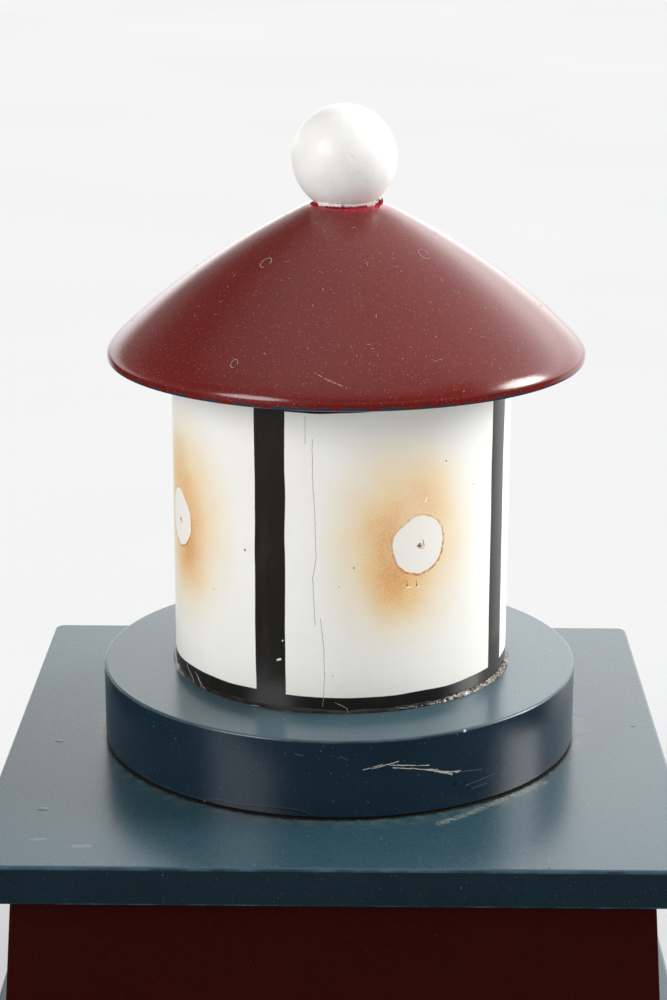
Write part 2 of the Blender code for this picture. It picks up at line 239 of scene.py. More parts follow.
def finishPiece(name, form, finish, nodes=(), sharp=35, tidy=True, even=False):
    # the form becomes an object that rides on the model and stands for the CAD nodes
    if tidy:
        mergeForm(form)
    for face in form.faces:
        face.smooth = True
    for edge in form.edges:
        edge.smooth = len(edge.link_faces) == 2 and edge.calc_face_angle(0) < math.radians(sharp)
    piece = placeObject(name, meshFrom(name, form))
    piece.data.materials.append(finish)
    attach(piece, "root")
    if nodes:
        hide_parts(*nodes)
    if even:  # broad flat faces keep their own shading beside eased edges
        piece.modifiers.new("evenShading", "WEIGHTED_NORMAL").keep_sharp = True
    return piece


def turnForm(outline, centre, steps):
    # the outline is (radius, height) from the bottom to the top, turned once round its axis
    form = bmesh.new()
    corners = [form.verts.new((centre.x + r, centre.y, z)) for r, z in outline]
    edges = [form.edges.new(pair) for pair in zip(corners, corners[1:])]
    bmesh.ops.spin(form, geom=corners + edges, cent=(centre.x, centre.y, 0), axis=(0, 0, 1),
                   angle=math.tau, steps=steps, use_merge=True)
    mergeForm(form)
    return form


def roundCorner(middle, radius, start, end, steps):
    # points of an eased edge, from one angle to the other in degrees
    angles = [math.radians(start + (end - start) * i / steps) for i in range(steps + 1)]
    return [(middle[0] + radius * math.cos(a), middle[1] + radius * math.sin(a)) for a in angles]


def layMap(form, centre, radius):
    # millimetres round the turning from the front, and millimetres above the slab
    layer = form.loops.layers.uv.new("turning")
    for face in form.faces:
        middle = face.calc_center_median() - centre
        facing = math.atan2(middle.x, -middle.y)
        for loop in face.loops:
            reach = loop.vert.co - centre
            turn = math.atan2(reach.x, -reach.y) if reach.xy.length > 0.1 * mm else facing
            turn = facing + (turn - facing + math.pi) % math.tau - math.pi
            over = (radius - reach.xy.length) / mm  # the map runs on over the flat faces
            height = (loop.vert.co.z - slabTop) / mm
            loop[layer].uv = (turn * radius / mm, height + over * (1 if face.normal.z > -0.5
                                                                   else -1))


def onTurning(centre, radius, arc, height, outward=0.0):
    # a point from the piece's map, all in millimetres but the centre and the radius
    turn = arc * mm / radius
    reach = radius + outward * mm
    return Vector((centre.x + reach * math.sin(turn), centre.y - reach * math.cos(turn),
                   slabTop + height * mm))


def threadForm(paths, thickness, sides=1):
    # thin closed tubes along the paths; each point is (place, share of the thickness)
    curve = bpy.data.curves.new("threadPath", "CURVE")
    curve.dimensions = "3D"
    curve.bevel_depth = thickness / 2
    curve.bevel_resolution = sides
    curve.use_fill_caps = True
    for path in paths:
        spline = curve.splines.new("POLY")
        spline.points.add(len(path) - 1)
        for point, (place, share) in zip(spline.points, path):
            point.co = (*place, 1)
            point.radius = share
    holder = placeObject("threadPath", curve)
    bpy.context.view_layer.update()
    form = bmesh.new()
    form.from_mesh(holder.to_mesh())
    holder.to_mesh_clear()
    bpy.data.objects.remove(holder)
    bpy.data.curves.remove(curve)
    bmesh.ops.remove_doubles(form, verts=form.verts, dist=0.001 * mm)
    bmesh.ops.recalc_face_normals(form, faces=form.faces)
    return form


def carve(form, cutter):
    # takes the cutter away from the form
    holders = [placeObject(name, meshFrom(name, part))
               for name, part in (("carved", form), ("cutter", cutter))]
    cut = holders[0].modifiers.new("cut", "BOOLEAN")
    cut.operation, cut.solver, cut.object = "DIFFERENCE", "EXACT", holders[1]
    bpy.context.view_layer.update()
    ready = holders[0].evaluated_get(bpy.context.evaluated_depsgraph_get())
    form = bmesh.new()
    form.from_mesh(ready.data)
    for holder in holders:
        mesh = holder.data
        bpy.data.objects.remove(holder)
        bpy.data.meshes.remove(mesh)
    return form


def refineNode(node, finish, easing, segments=2):
    # a CAD node's copy, merged, with its hard edges eased as sanding leaves them
    form = bmesh.new()
    form.from_mesh(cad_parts[node].data)
    bmesh.ops.remove_doubles(form, verts=form.verts, dist=0.005 * mm)
    bmesh.ops.dissolve_limit(form, angle_limit=math.radians(0.5), verts=form.verts,
                             edges=form.edges)
    hard = [e for e in form.edges
            if len(e.link_faces) == 2 and e.calc_face_angle(0) > math.radians(50)]
    bmesh.ops.bevel(form, geom=hard, offset=easing, segments=segments, profile=0.5,
                    affect="EDGES", material=-1, clamp_overlap=True)
    words = node.split("_")
    name = words[0] + "".join(w.capitalize() for w in words[1:])
    return finishPiece(name, form, finish, [node], even=True)


# Finishes

def brushedCoat(tree, place, stretch):
    # brush marks over a millimetre apart, drawn out along the strokes, and orange peel
    marks = patches(tree, place, 1.6, 0.1, 0.9, 1.0, stretch)
    peel = patches(tree, place, 2.6, 0.1, 0.9, 1.0)
    slow = patches(tree, place, 14, 0.2, 0.8, 1.0)
    joined = addNode(tree, "Math", [marks, 0.6, peel], operation="MULTIPLY_ADD")
    return addNode(tree, "Math", [slow, 2.5, joined], operation="MULTIPLY_ADD"), marks


def makeRedFinish(name, plan):
    # alkyd enamel, brushed on turned and sanded pine: deep and satin, dusty on its slopes
    material, tree, place = startFinish(name)
    height, marks = brushedCoat(tree, place, plan["strokes"])
    cloud = patches(tree, place, 45, 0.35, 0.65)
    film = patches(tree, place, 2.6, 0.2, 0.9, 3.0)
    layers = [
        (marks, plan["streak"], 0.25),
        (cloud, plan["cloud"], 0.35),
        (film, plan["film"], plan["filmShare"]),
        (specks(tree, place, 2.0, 0.32, plan["speckShare"], 0.42), plan["dust"]),
        (specks(tree, place, 1.3, 0.27, plan["speckShare"], 0.32), plan["dust"]),
        (specks(tree, place, 5.5, 0.44, plan["speckShare"], 0.55), plan["dust"]),
        (specks(tree, place, 9.0, 0.6, 0.3, 0.8), plan["pit"])]
    if "first" in plan:
        # under the ball the coat has torn and a brighter first coat shows
        away = roundReach(tree, place, plan["centre"])
        rag = addNode(tree, "TexNoise", {"Vector": place, "Scale": 0.35, "Detail": 5.0})
        away = addNode(tree, "Math", [rag, -12.0, away], operation="MULTIPLY_ADD")
        wash = addNode(tree, "MapRange", [away, 14.0, 18.5, 0.75, 0.0])
        torn = addNode(tree, "MapRange", [away, 13.4, 14.6, 1.0, 0.0])
        patch = patches(tree, place, 1.8, 0.5, 0.6, 4.0)
        layers += [(wash, plan["wash"]), (torn, plan["first"]),
                   (joinMasks(tree, [torn, patch], "MULTIPLY"), plan["deep"])]
        # one dry scuff near the front of the rim
        scuffs = [(onRoof(*start) / mm, onRoof(*end) / mm, width)
                  for start, end, width in plan["scuffs"]]
        worn = patches(tree, place, 1.2, 0.35, 0.6, strength=0.6)
        scuff = joinMasks(tree, [strokes(tree, place, scuffs), worn], "MULTIPLY")
        layers.append((scuff, plan["dust"]))
        # slate paint from the underside has crept round the rim in blots
        blot = patches(tree, place, 9, 0.42, 0.52, 4.0)
        line = addNode(tree, "Math", [blot, 1.3, plan["rimLine"]], operation="MULTIPLY_ADD")
        z = addNode(tree, "SeparateXYZ", [place]).node.outputs[2]
        low = addNode(tree, "Math", [z, line], operation="LESS_THAN")
        layers.append((low, plan["slate"]))
    colour = layPaint(tree, plan["ground"], layers)
    gloss = addNode(tree, "MapRange", [film, 0.0, 1.0, plan["gloss"], plan["gloss"] + 0.05])
    endFinish(tree, {"Base Color": colour, "Roughness": gloss, "IOR": 1.5,
                     "Specular IOR Level": plan["sheen"]}, height, plan["brushDepth"])
    return material


def makeSlateFinish(name, plan):
    # alkyd enamel in slate blue, brushed on sanded pine boards: satin, its eased edges banded paler
    # as rubbed wear and painted highlight
    material, tree, place = startFinish(name)
    z = addNode(tree, "SeparateXYZ", [place]).node.outputs[2]
    height, marks = brushedCoat(tree, place, plan["strokes"])
    cloud = patches(tree, place, 38, 0.35, 0.65)
    film = patches(tree, place, 1.6, 0.3, 0.9, 2.0)
    facing = addNode(tree, "NewGeometry", output="Normal")
    up = addNode(tree, "SeparateXYZ", [facing]).node.outputs[2]
    up = addNode(tree, "MapRange", [up, 0.6, 0.95, 0.0, 1.0])
    # upward faces are laid paler: partly settled dust, partly a painted sheen for the bright
    # reflections the tops catch
    layers = [(marks, plan["streak"], 0.22), (cloud, plan["cloud"], 0.5), (up, plan["haze"], 0.75),
              (joinMasks(tree, [film, up], "MULTIPLY"), plan["film"], 0.35)]
    dust = joinMasks(tree, [specks(tree, place, 2.3, 0.45, 0.3, 0.4),
                            specks(tree, place, 1.5, 0.34, 0.3, 0.25),
                            specks(tree, place, 6.0, 0.55, 0.3, 0.7)])
    seen = addNode(tree, "MapRange", [up, 0.0, 1.0, 0.35, 1.0])
    layers.append((joinMasks(tree, [dust, seen], "MULTIPLY"), plan["dust"]))
    layers.append((specks(tree, place, 14.0, 0.7, 0.3, 0.8), plan["pit"]))
    edgeBreakup = patches(tree, place, 16, 0.42, 0.6, 4.0)
    reach = roundReach(tree, place, plan["centre"]) if "centre" in plan \
        else squareReach(tree, place)
    rim = addNode(tree, "MapRange", [reach, plan["reach"] - 1.5, plan["reach"] - 0.5, 0.0, 1.0])
    # bands along the eased edges: partly rubbed wear, partly painted highlight on the rounded
    # edges; a darker band is painted shade
    for low, high, strength, colour in plan["edges"]:
        edgeWearAndLight = joinMasks(tree, [rim, between(tree, z, low, high, 0.3)], "MULTIPLY")
        edgeWearAndLight = joinMasks(tree, [edgeWearAndLight, addNode(tree, "MapRange", [edgeBreakup, 0.0, 1.0, 0.08, strength])],
                         "MULTIPLY")
        layers.append((edgeWearAndLight, colour))
    colour = layPaint(tree, plan["ground"], layers + plan["extras"](tree, place))
    gloss = addNode(tree, "MapRange", [film, 0.0, 1.0, plan["gloss"], plan["gloss"] + 0.06])
    endFinish(tree, {"Base Color": colour, "Roughness": gloss, "IOR": 1.5,
                     "Specular IOR Level": plan["sheen"]}, height, plan["brushDepth"])
    return material


def makeSpotGroup():
    # one painted lamp: a spot kept white under a mask, with an amber glow sprayed round it
    group = bpy.data.node_groups.new("spotMask", "ShaderNodeTree")
    for name in ("Place", "Middle"):
        group.interface.new_socket(name, in_out="INPUT", socket_type="NodeSocketVector")
    for name in ("Lean", "Seed"):
        group.interface.new_socket(name, in_out="INPUT", socket_type="NodeSocketFloat")
    for name in ("Stain", "Clear", "Rim"):
        group.interface.new_socket(name, in_out="OUTPUT", socket_type="NodeSocketFloat")
    place = addNode(group, "NodeGroupInput")
    place, middle, lean, seed = [place.node.outputs[n] for n in ("Place", "Middle", "Lean", "Seed")]
    away = addNode(group, "VectorMath", [place, middle], operation="SUBTRACT")
    lean = addNode(group, "CombineXYZ", [lean, 1.0, 0.0])
    away = addNode(group, "VectorMath", [away, lean], operation="MULTIPLY")
    apart = addNode(group, "CombineXYZ", [0.0, 0.0, seed])
    drawn = addNode(group, "VectorMath", [away, apart], operation="ADD")
    sizes = {"edge": ((0, 0), (14.1, 14.8)), "wide": ((-8, 2), (50, 68)),
             "low": ((-12, -19), (22, 28)), "side": ((-17, 2), (18, 32)),
             "high": ((3, 26), (24, 26))}
    rag = addNode(group, "TexNoise", {"Vector": drawn, "Scale": 0.11, "Detail": 3.0,
                                      "Roughness": 0.6}, output="Color")
    rag = addNode(group, "VectorMath", [rag, (0.5, 0.5, 0.5)], operation="SUBTRACT")
    rag = addNode(group, "VectorMath", {0: rag, "Scale": 2.6}, operation="SCALE")
    reach = {}
    for name, (shift, size) in sizes.items():
        point = addNode(group, "VectorMath", [away, (*shift, 0)], operation="SUBTRACT")
        if name == "edge":
            point = addNode(group, "VectorMath", [point, rag], operation="ADD")
            # the mask was cut straight on its upper left
            slant = addNode(group, "VectorMath", [point, (-0.62 / 13.0, 0.78 / 13.0, 0)],
                            "Value", operation="DOT_PRODUCT")
        point = addNode(group, "VectorMath", [point, (1 / size[0], 1 / size[1], 0)],
                        operation="MULTIPLY")
        reach[name] = addNode(group, "VectorMath", [point], "Value", operation="LENGTH")
    edge = addNode(group, "Math", [reach["edge"], slant, 0.12], operation="SMOOTH_MAX")
    clear = addNode(group, "MapRange", [edge, 0.985, 1.0, 1.0, 0.0])
    # paint crept under the mask and dried in a toothed brown line
    teeth = addNode(group, "TexNoise", {"Vector": drawn, "Scale": 0.8, "Detail": 2.0})
    outer = addNode(group, "Math", [teeth, 0.2, edge], operation="MULTIPLY_ADD")
    outer = addNode(group, "MapRange", [outer, 1.13, 1.17, 1.0, 0.0])
    inner = addNode(group, "MapRange", [edge, 0.975, 1.0, 0.0, 1.0])
    ring = joinMasks(group, [inner, outer], "MULTIPLY")
    broken = addNode(group, "TexNoise", {"Vector": drawn, "Scale": 0.3, "Detail": 3.0})
    broken = addNode(group, "MapRange", [broken, 0.34, 0.56, 0.3, 1.0])
    lower = addNode(group, "SeparateXYZ", [away]).node.outputs
    lower = addNode(group, "Math", [lower[0], -0.6, lower[1]], operation="MULTIPLY_ADD")
    lower = addNode(group, "MapRange", [lower, -14.0, 14.0, 1.0, 0.35])
    ring = joinMasks(group, [ring, broken, lower], "MULTIPLY")
    fades = [("wide", 0.5), ("low", 0.36), ("side", 0.24), ("high", 0.2)]
    stain = None
    for name, strength in fades:
        fade = addNode(group, "MapRange", [reach[name], 0.05, 1.0, strength, 0.0],
                       interpolation_type="SMOOTHSTEP")
        stain = addNode(group, "Math", [stain, fade], operation="ADD") if stain else fade
    grain = addNode(group, "TexNoise", {"Vector": drawn, "Scale": 1.1, "Detail": 2.0})
    grain = addNode(group, "MapRange", [grain, 0.3, 0.7, 0.74, 1.24])
    slow = addNode(group, "TexNoise", {"Vector": drawn, "Scale": 0.06, "Detail": 2.0})
    slow = addNode(group, "MapRange", [slow, 0.3, 0.7, 0.8, 1.15])
    stain = addNode(group, "Math", [stain, grain], operation="MULTIPLY")
    stain = addNode(group, "Math", [stain, slow], operation="MULTIPLY")
    bare = addNode(group, "Math", [1.0, clear], operation="SUBTRACT")
    stain = addNode(group, "Math", [stain, bare], operation="MULTIPLY", use_clamp=True)
    addNode(group, "NodeGroupOutput", [stain, clear, ring])
    return group


spotGroup = makeSpotGroup()

lantern = {
    "bars": [-34.9, 99.7, 236.0, -171.2], "barHalf": 8.1, "foot": 48.8, "top": 193.2,
    "spots": [((40.3, 125.4), 1, 0.0), ((-104.5, 125.0), -1, 31.0),
              ((168.3, 126.4), 1, 57.0), ((-238.0, 123.8), -1, 83.0)],
    "cracks": [[(-16.5, 191.5), (-16.4, 177.7)],
               [(-13.1, 180.4), (-12.8, 158.5), (-11.8, 144.0), (-11.2, 120.0), (-12.8, 110.5),
                (-11.7, 85.9)],
               [(-9.0, 89.6), (-7.5, 76.2), (-6.9, 60.6), (-7.9, 44.0)]],
    "crackWidth": 0.3, "nails": [(40.9, 124.4), (-104.0, 124.0), (168.0, 125.0), (-238.5, 123.2)],
    "staples": [(34.1, 105.3), (39.3, 104.6)], "steps": 360, "rows": 80,
    "wave": 0.12, "waveSize": 28,
    # holes are (radius, depth) in the wood, and a stained radius in the paint
    "nailHole": (0.6, 5.0), "nailStain": 0.85, "nailRust": 2.3,
    "stapleHole": (0.42, 3.0), "stapleStain": 0.55,
    "amber": [(0.0, "#f4f3ee"), (0.12, "#f6ebd7"), (0.34, "#f4d8aa"), (0.6, "#f0c081"),
              (0.85, "#e7a95e"), (1.0, "#dc9847")],
    "cream": "#ece7da", "spotWhite": "#f3f0e7", "black": "#171310", "rim": "#c27c2b",
    "yellowed": "#e6dcc4", "dirt": "#a9997f", "rust": "#b39a7c", "lip": "#fbfaf6",
    "dent": "#a67a48", "blackDust": "#3a332c", "blackSpeck": "#7d7468", "nib": "#6e5a47",
    "crack": "#94897b", "chip": "#f5f3ec", "hole": "#6b4e33",
    "nibs": [((-48.8, 120.7), 0.8), ((7.3, 115.9), 0.55), ((55.4, 165.4), 0.6), ((0.0, 106.3), 0.4),
             ((-3.0, 60.0), 0.4), ((75.0, 150.0), 0.4), ((-70.0, 96.0), 0.5)],
    # crushed paint round the nail and the staple, and painted highlights on the lips below them
    "dents": [((39.6, 124.4), (40.9, 125.6), 1.5), ((42.4, 127.3), (43.2, 124.4), 0.7),
              ((34.1, 105.0), (34.2, 107.4), 0.6), ((39.3, 104.2), (39.2, 106.8), 0.6)],
    "lips": [((39.4, 122.6), (42.2, 122.4), 0.9), ((34.4, 103.9), (35.8, 104.1), 0.9),
             ((39.8, 103.3), (40.4, 104.2), 0.8)],
    "chips": [((43.4, 146.5), (44.6, 148.6), 1.1), ((-30.9, 66.4), (-29.4, 67.0), 1.3),
              ((-28.4, 76.6), (-28.1, 77.0), 0.8)]}
drumCentre = axisOf(drumLow, drumHigh)
drumRadius = (drumHigh.x - drumLow.x) / 2


def makeLanternFinish():
    # white alkyd enamel, brushed on a turned pine drum, with black bars painted over it:
    # warm white and satin, the black glossier, the grain opened in one long drying check
    material, tree, _ = startFinish("lanternEnamelOnPine")
    place = addNode(tree, "UVMap", uv_map="turning")
    edge = sway(tree, place, 0.03, 1.0, (1.6, 2.6, 0))  # the hand's slow wander
    edge = sway(tree, place, 0.9, 2.0, (0.25, 0.25, 0), edge)  # the bristles' own edge
    across, up = addNode(tree, "SeparateXYZ", [edge]).node.outputs[:2]
    half = lantern["barHalf"]
    black = [between(tree, across, bar - half, bar + half, 0.12) for bar in lantern["bars"]]
    black.append(addNode(tree, "MapRange", [up, lantern["foot"] - 0.1, lantern["foot"] + 0.1,
                                            1.0, 0.0]))
    black.append(addNode(tree, "MapRange", [up, lantern["top"] - 0.1, lantern["top"] + 0.1,
                                            0.0, 1.0]))
    black = joinMasks(tree, black)
    stains, clears, rims = [], [], []
    for middle, lean, seed in lantern["spots"]:
        spot = addNode(tree, "Group", {"Place": place, "Middle": (*middle, 0), "Lean": lean,
                                       "Seed": seed}, node_tree=spotGroup).node.outputs
        for masks, mask in zip((stains, clears, rims), spot):
            masks.append(mask)
    stain, clear, rim = [joinMasks(tree, masks) for masks in (stains, clears, rims)]
    amber = addNode(tree, "ValToRGB", [stain])
    fillRamp(amber, [(share, toLinear(code)) for share, code in lantern["amber"]])
    width = lantern["crackWidth"]
    cracks = [line for path in lantern["cracks"] for line in pathLines(path, width)]
    waver = sway(tree, place, 0.5, 3.0, (1.1, 0.4, 0))
    crack = strokes(tree, waver, cracks)
    cream = patches(tree, place, 30, 0.35, 0.7, 3.0, (1, 0.5, 1))
    yellowed = patches(tree, place, 7, 0.5, 0.75, 4.0)
    marks = patches(tree, place, 1.3, 0.25, 0.75, 2.0, (0.12, 1, 1))
    nibs = dots(tree, waver, lantern["nibs"])
    holes = dots(tree, place, [(spot, lantern["nailStain"]) for spot in lantern["nails"]]
                 + [(spot, lantern["stapleStain"]) for spot in lantern["staples"]])
    rust = dots(tree, waver, [((x + 0.5, y - 0.4), lantern["nailRust"])
                              for x, y in lantern["nails"]])
    chips = strokes(tree, waver, lantern["chips"])
    white = layPaint(tree, amber, [
        (cream, lantern["cream"], 0.35),
        (yellowed, lantern["yellowed"], 0.12),
        (clear, lantern["spotWhite"], 0.9),
        (rim, lantern["rim"]),
        (specks(tree, place, 9.0, 0.35, 0.3, 0.5), lantern["dirt"]),
        (rust, lantern["rust"], 0.5),
        # near-white strokes under the dents are painted highlights
        (strokes(tree, waver, lantern["lips"]), lantern["lip"]),
        (strokes(tree, waver, lantern["dents"]), lantern["dent"])])
    dusty = patches(tree, place, 9, 0.5, 0.75, 4.0, (1, 0.25, 1))
    darkCoat = layPaint(tree, lantern["black"], [
        (dusty, lantern["blackDust"], 0.3),
        (specks(tree, place, 5.0, 0.3, 0.35, 0.5), lantern["blackSpeck"])])
    colour = layPaint(tree, white, [
        (black, darkCoat), (nibs, lantern["nib"]), (crack, lantern["crack"]),
        (chips, lantern["chip"]), (holes, lantern["hole"])])
    height = addNode(tree, "Math", [marks, 0.3, yellowed], operation="MULTIPLY_ADD")
    height = addNode(tree, "Math", [black, 0.5, height], operation="MULTIPLY_ADD")
    height = addNode(tree, "Math", [rim, 1.2, height], operation="MULTIPLY_ADD")
    height = addNode(tree, "Math", [crack, -2.0, height], operation="MULTIPLY_ADD")
    gloss = addNode(tree, "MapRange", [black, 0.0, 1.0, 0.42, 0.24])
    gloss = addNode(tree, "Math", [clear, 0.1, gloss], operation="MULTIPLY_ADD")
    endFinish(tree, {"Base Color": colour, "Roughness": gloss, "IOR": 1.5}, height, 0.02)
    return material


def makeBallFinish():
    # white enamel dabbed on a turned beech ball: soft satin, with brush drag, dirty hollows, and
    # wrinkle creases drawn darker as dirt and painted shade
    material, tree, place = startFinish("ballEnamelOnBeech")
    drag = patches(tree, place, 2.2, 0.3, 0.7, 3.0, (1, 1, 0.3))
    hollow = patches(tree, place, 11, 0.48, 0.75, 4.0)
    # wrinkle creases drawn darker: partly dirt in them, partly painted shade in the creases
    creaseDirtAndShade = addNode(tree, "TexNoise", {"Vector": place, "Scale": 0.22, "Detail": 4.0,
                                        "Distortion": 1.5})
    creaseDirtAndShade = addNode(tree, "Math", [creaseDirtAndShade, 0.5], operation="SUBTRACT")
    creaseDirtAndShade = addNode(tree, "Math", [creaseDirtAndShade], operation="ABSOLUTE")
    creaseDirtAndShade = addNode(tree, "MapRange", [creaseDirtAndShade, 0.0, 0.035, 1.0, 0.0])
    where = patches(tree, place, 16, 0.5, 0.62, 2.0)
    creaseDirtAndShade = joinMasks(tree, [creaseDirtAndShade, where], "MULTIPLY")
    colour = layPaint(tree, "#f2f1ee", [
        (hollow, "#dbd9d4", 0.4), (drag, "#f4f3ef", 0.25), (creaseDirtAndShade, "#b9b3a6", 0.2),
        (specks(tree, place, 7.0, 0.4, 0.3, 0.5), "#a89f92")])
    height = addNode(tree, "Math", [drag, 0.5, hollow], operation="MULTIPLY_ADD")
    height = addNode(tree, "Math", [creaseDirtAndShade, -0.4, height], operation="MULTIPLY_ADD")
    gloss = addNode(tree, "MapRange", [hollow, 0.0, 1.0, 0.36, 0.5])
    endFinish(tree, {"Base Color": colour, "Roughness": gloss, "IOR": 1.5}, height, 0.05)
    return material


def makePineFinish():
    # planed Scots pine, unpainted: pale, with darker late wood every few millimetres
    material, tree, place = startFinish("barePine")
    bend = addNode(tree, "TexNoise", {"Vector": place, "Scale": 0.012, "Detail": 2.0})
    bend = addNode(tree, "Math", [bend, 26.0], operation="MULTIPLY")
    bend = addNode(tree, "CombineXYZ", [0.0, bend, 0.0])
    drawn = addNode(tree, "VectorMath", [place, bend], operation="ADD")
    drawn = addNode(tree, "VectorMath", [drawn, (0.04, 1.0, 0.6)], operation="MULTIPLY")
    rings = addNode(tree, "TexWave", {"Vector": drawn, "Scale": 0.055, "Distortion": 2.5,
                                      "Detail": 2.0}, bands_direction="Y", wave_profile="SAW")
    pores = patches(tree, drawn, 0.5, 0.45, 0.75, 3.0)
    colour = layPaint(tree, "#d9b88a", [
        (rings, "#b98b57", 0.7), (pores, "#a77c4c", 0.4),
        (patches(tree, place, 50, 0.45, 0.7, 2.0, strength=0.3), "#c7a273")])
    endFinish(tree, {"Base Color": colour, "Roughness": 0.68, "IOR": 1.5},
              addNode(tree, "Math", [rings, pores], operation="ADD"), 0.05)
    return material


def makeScrewFinish():
    # zinc-plated steel, rolled: bluish grey and a little dull, with yellow passivation clouds
    material, tree, place = startFinish("zincPlatedSteel")
    cloud = patches(tree, place, 3.0, 0.4, 0.7)
    colour = layPaint(tree, "#a9abad", [(cloud, "#b5ab92")])
    gloss = addNode(tree, "MapRange", [cloud, 0.0, 1.0, 0.3, 0.5])
    endFinish(tree, {"Base Color": colour, "Metallic": 1.0, "Roughness": gloss}, cloud, 0.01)
    return material


def makeLintFinish():
    # cotton and dust fluff: pale grey and quite matt
    material, tree, place = startFinish("dustFluff")
    colour = layPaint(tree, "#b9a9a0", [(patches(tree, place, 4, 0.4, 0.6), "#d8cfc6")])
    endFinish(tree, {"Base Color": colour, "Roughness": 0.9, "IOR": 1.45})
    return material


def makeFibreFinish():
    # torn ends of pine fibre and old glue crumbs: straw to white, matt
    material, tree, place = startFinish("tornPineFibre")
    colour = layPaint(tree, "#b9ab92", [(patches(tree, place, 1.5, 0.4, 0.6), "#e6e1d7"),
                                        (patches(tree, place, 2.6, 0.56, 0.68), "#6f5c44")])
    endFinish(tree, {"Base Color": colour, "Roughness": 0.75, "IOR": 1.5})
    return material


def makeFlakeFinish(name, ground, deep):
    # a torn skin of enamel, seen on its broken side: brighter than the weathered face
    material, tree, place = startFinish(name)
    colour = layPaint(tree, ground, [(patches(tree, place, 1.2, 0.45, 0.6), deep)])
    endFinish(tree, {"Base Color": colour, "Roughness": 0.4, "IOR": 1.5})
    return material


def makeBeadFinish():
    # black enamel that pooled in the corner and set glossy, with torn pale ends of wood fibre
    material, tree, place = startFinish("blackEnamelBead")
    rag = patches(tree, place, 2.6, 0.5, 0.58, 4.0)
    side = addNode(tree, "SeparateXYZ", [place]).node.outputs[0]
    side = addNode(tree, "MapRange", [side, 45.0, 75.0, 0.0, 0.8])
    rag = joinMasks(tree, [rag, side], "MULTIPLY")
    colour = layPaint(tree, "#1b1714", [(patches(tree, place, 6, 0.4, 0.7), "#3d352c", 0.4),
                                        (rag, "#b9a88c")])
    gloss = addNode(tree, "MapRange", [rag, 0.0, 1.0, 0.13, 0.7])
    endFinish(tree, {"Base Color": colour, "Roughness": gloss, "IOR": 1.5}, rag, 0.15)
    return material


print("finishes ready")


# Turned pieces

roof = {
    "centre": axisOf(roofLow, roofHigh),
    "slopeStart": (21.5, 76.8), "slopeEnd": (107.4, 19.7), "swell": 3.5, "flat": 17.0,
    "widest": 3.6, "chamfer": 1.8, "slopeSteps": 44, "rimSteps": 22, "steps": 256,
    "ground": "#68150f", "streak": "#751b14", "cloud": "#5c110c", "film": "#8a4a43",
    "filmShare": 0.12, "speckShare": 0.5, "dust": "#cdb0a6", "pit": "#3c0d0b",
    "wash": "#8a1a26", "first": "#ab1a30", "deep": "#5a0e16", "slate": "#2c3a48", "gloss": 0.15,
    "sheen": 0.5, "brushDepth": 0.012, "strokes": (0.35, 0.35, 1.0),
    # scuffs are (from, to, width), each end by degrees round and millimetres from the axis
    "scuffs": [((-7, 111.2), (-3.4, 114.4), 0.7), ((-4.0, 113.8), (-0.4, 116.2), 0.9)],
    "wave": 0.22, "waveSize": 34, "waveFrom": 22, "waveTo": 118}
roof["rimLine"] = roofLow.z / mm + 0.6


def roofOutline(plan):
    # from the middle of the underside, round the rim, up the swelling slope to the flat top
    start, end = Vector(plan["slopeStart"]), Vector(plan["slopeEnd"])
    along = end - start
    outward = Vector((-along.y, along.x)).normalized()
    shares = [i / plan["slopeSteps"] for i in range(plan["slopeSteps"] + 1)]
    slope = [start + along * t + outward * (4 * plan["swell"] * t * (1 - t)) for t in shares]
    widest = Vector(((roofHigh.x - roofLow.x) / 2 / mm, plan["widest"]))
    leaving = (along - outward * 4 * plan["swell"]).normalized()
    corner = end + leaving * (widest.x - end.x) / leaving.x
    shares = [i / plan["rimSteps"] for i in range(1, plan["rimSteps"] + 1)]
    rim = [end * (1 - t) ** 2 + corner * 2 * t * (1 - t) + widest * t ** 2 for t in shares]
    foot = roundCorner((widest.x - plan["chamfer"], plan["chamfer"]), plan["chamfer"], -90, -8, 6)
    crown = [(plan["flat"] + 1.0, (roofHigh.z - roofLow.z) / mm - 0.25),
             (plan["flat"], (roofHigh.z - roofLow.z) / mm)]
    points = [(0, 0), (60, 0)] + foot + list(reversed(rim)) + list(reversed(slope)) + crown
    return [(r * mm, roofLow.z + z * mm) for r, z in points] + [(0, roofHigh.z)]


def onRoof(turn, reach, outward=0.0):
    # a point on the slope, by degrees round from the front and millimetres from the axis
    points = [p for p in roofProfile if p[0] > 20 * mm and p[1] > roofLow.z]
    for (r1, z1), (r2, z2) in zip(points, points[1:]):
        if z2 > roofLow.z + 6 * mm and r2 <= reach * mm <= r1:
            height = z1 + (z2 - z1) * (reach * mm - r1) / (r2 - r1)
            break
    turn = math.radians(turn)
    return Vector((roof["centre"].x + reach * mm * math.sin(turn),
                   roof["centre"].y - reach * mm * math.cos(turn), height + outward * mm))


roofProfile = roofOutline(roof)


bores = {"clearance": 0.3, "shank": 2.3, "headDrop": 2.0, "headRise": 2.4, "sides": 20}


def boreFor(form, nodes):
    # holes for the dowels and screws that pass through or end in the piece
    cutter = bmesh.new()
    clearance = bores["clearance"] * mm
    for node in nodes:
        low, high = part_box(node)
        middle = (low + high) / 2
        radius = (high.x - low.x) / 2 + clearance
        parts = [(radius, low.z - clearance, high.z + clearance)]
        if "screw" in node:
            parts = [(bores["shank"] * mm, low.z, high.z + clearance),
                     (radius, low.z - bores["headDrop"] * mm, low.z + bores["headRise"] * mm)]
        for size, bottom, top in parts:
            made = bmesh.ops.create_cone(cutter, cap_ends=True, segments=bores["sides"],
                                         radius1=size, radius2=size, depth=top - bottom)
            bmesh.ops.translate(cutter, verts=made["verts"],
                                vec=(middle.x, middle.y, (top + bottom) / 2))
    return carve(form, cutter)


def screwNames(stem, count):
    return [f"{stem}_{i}" for i in range(1, count + 1)]


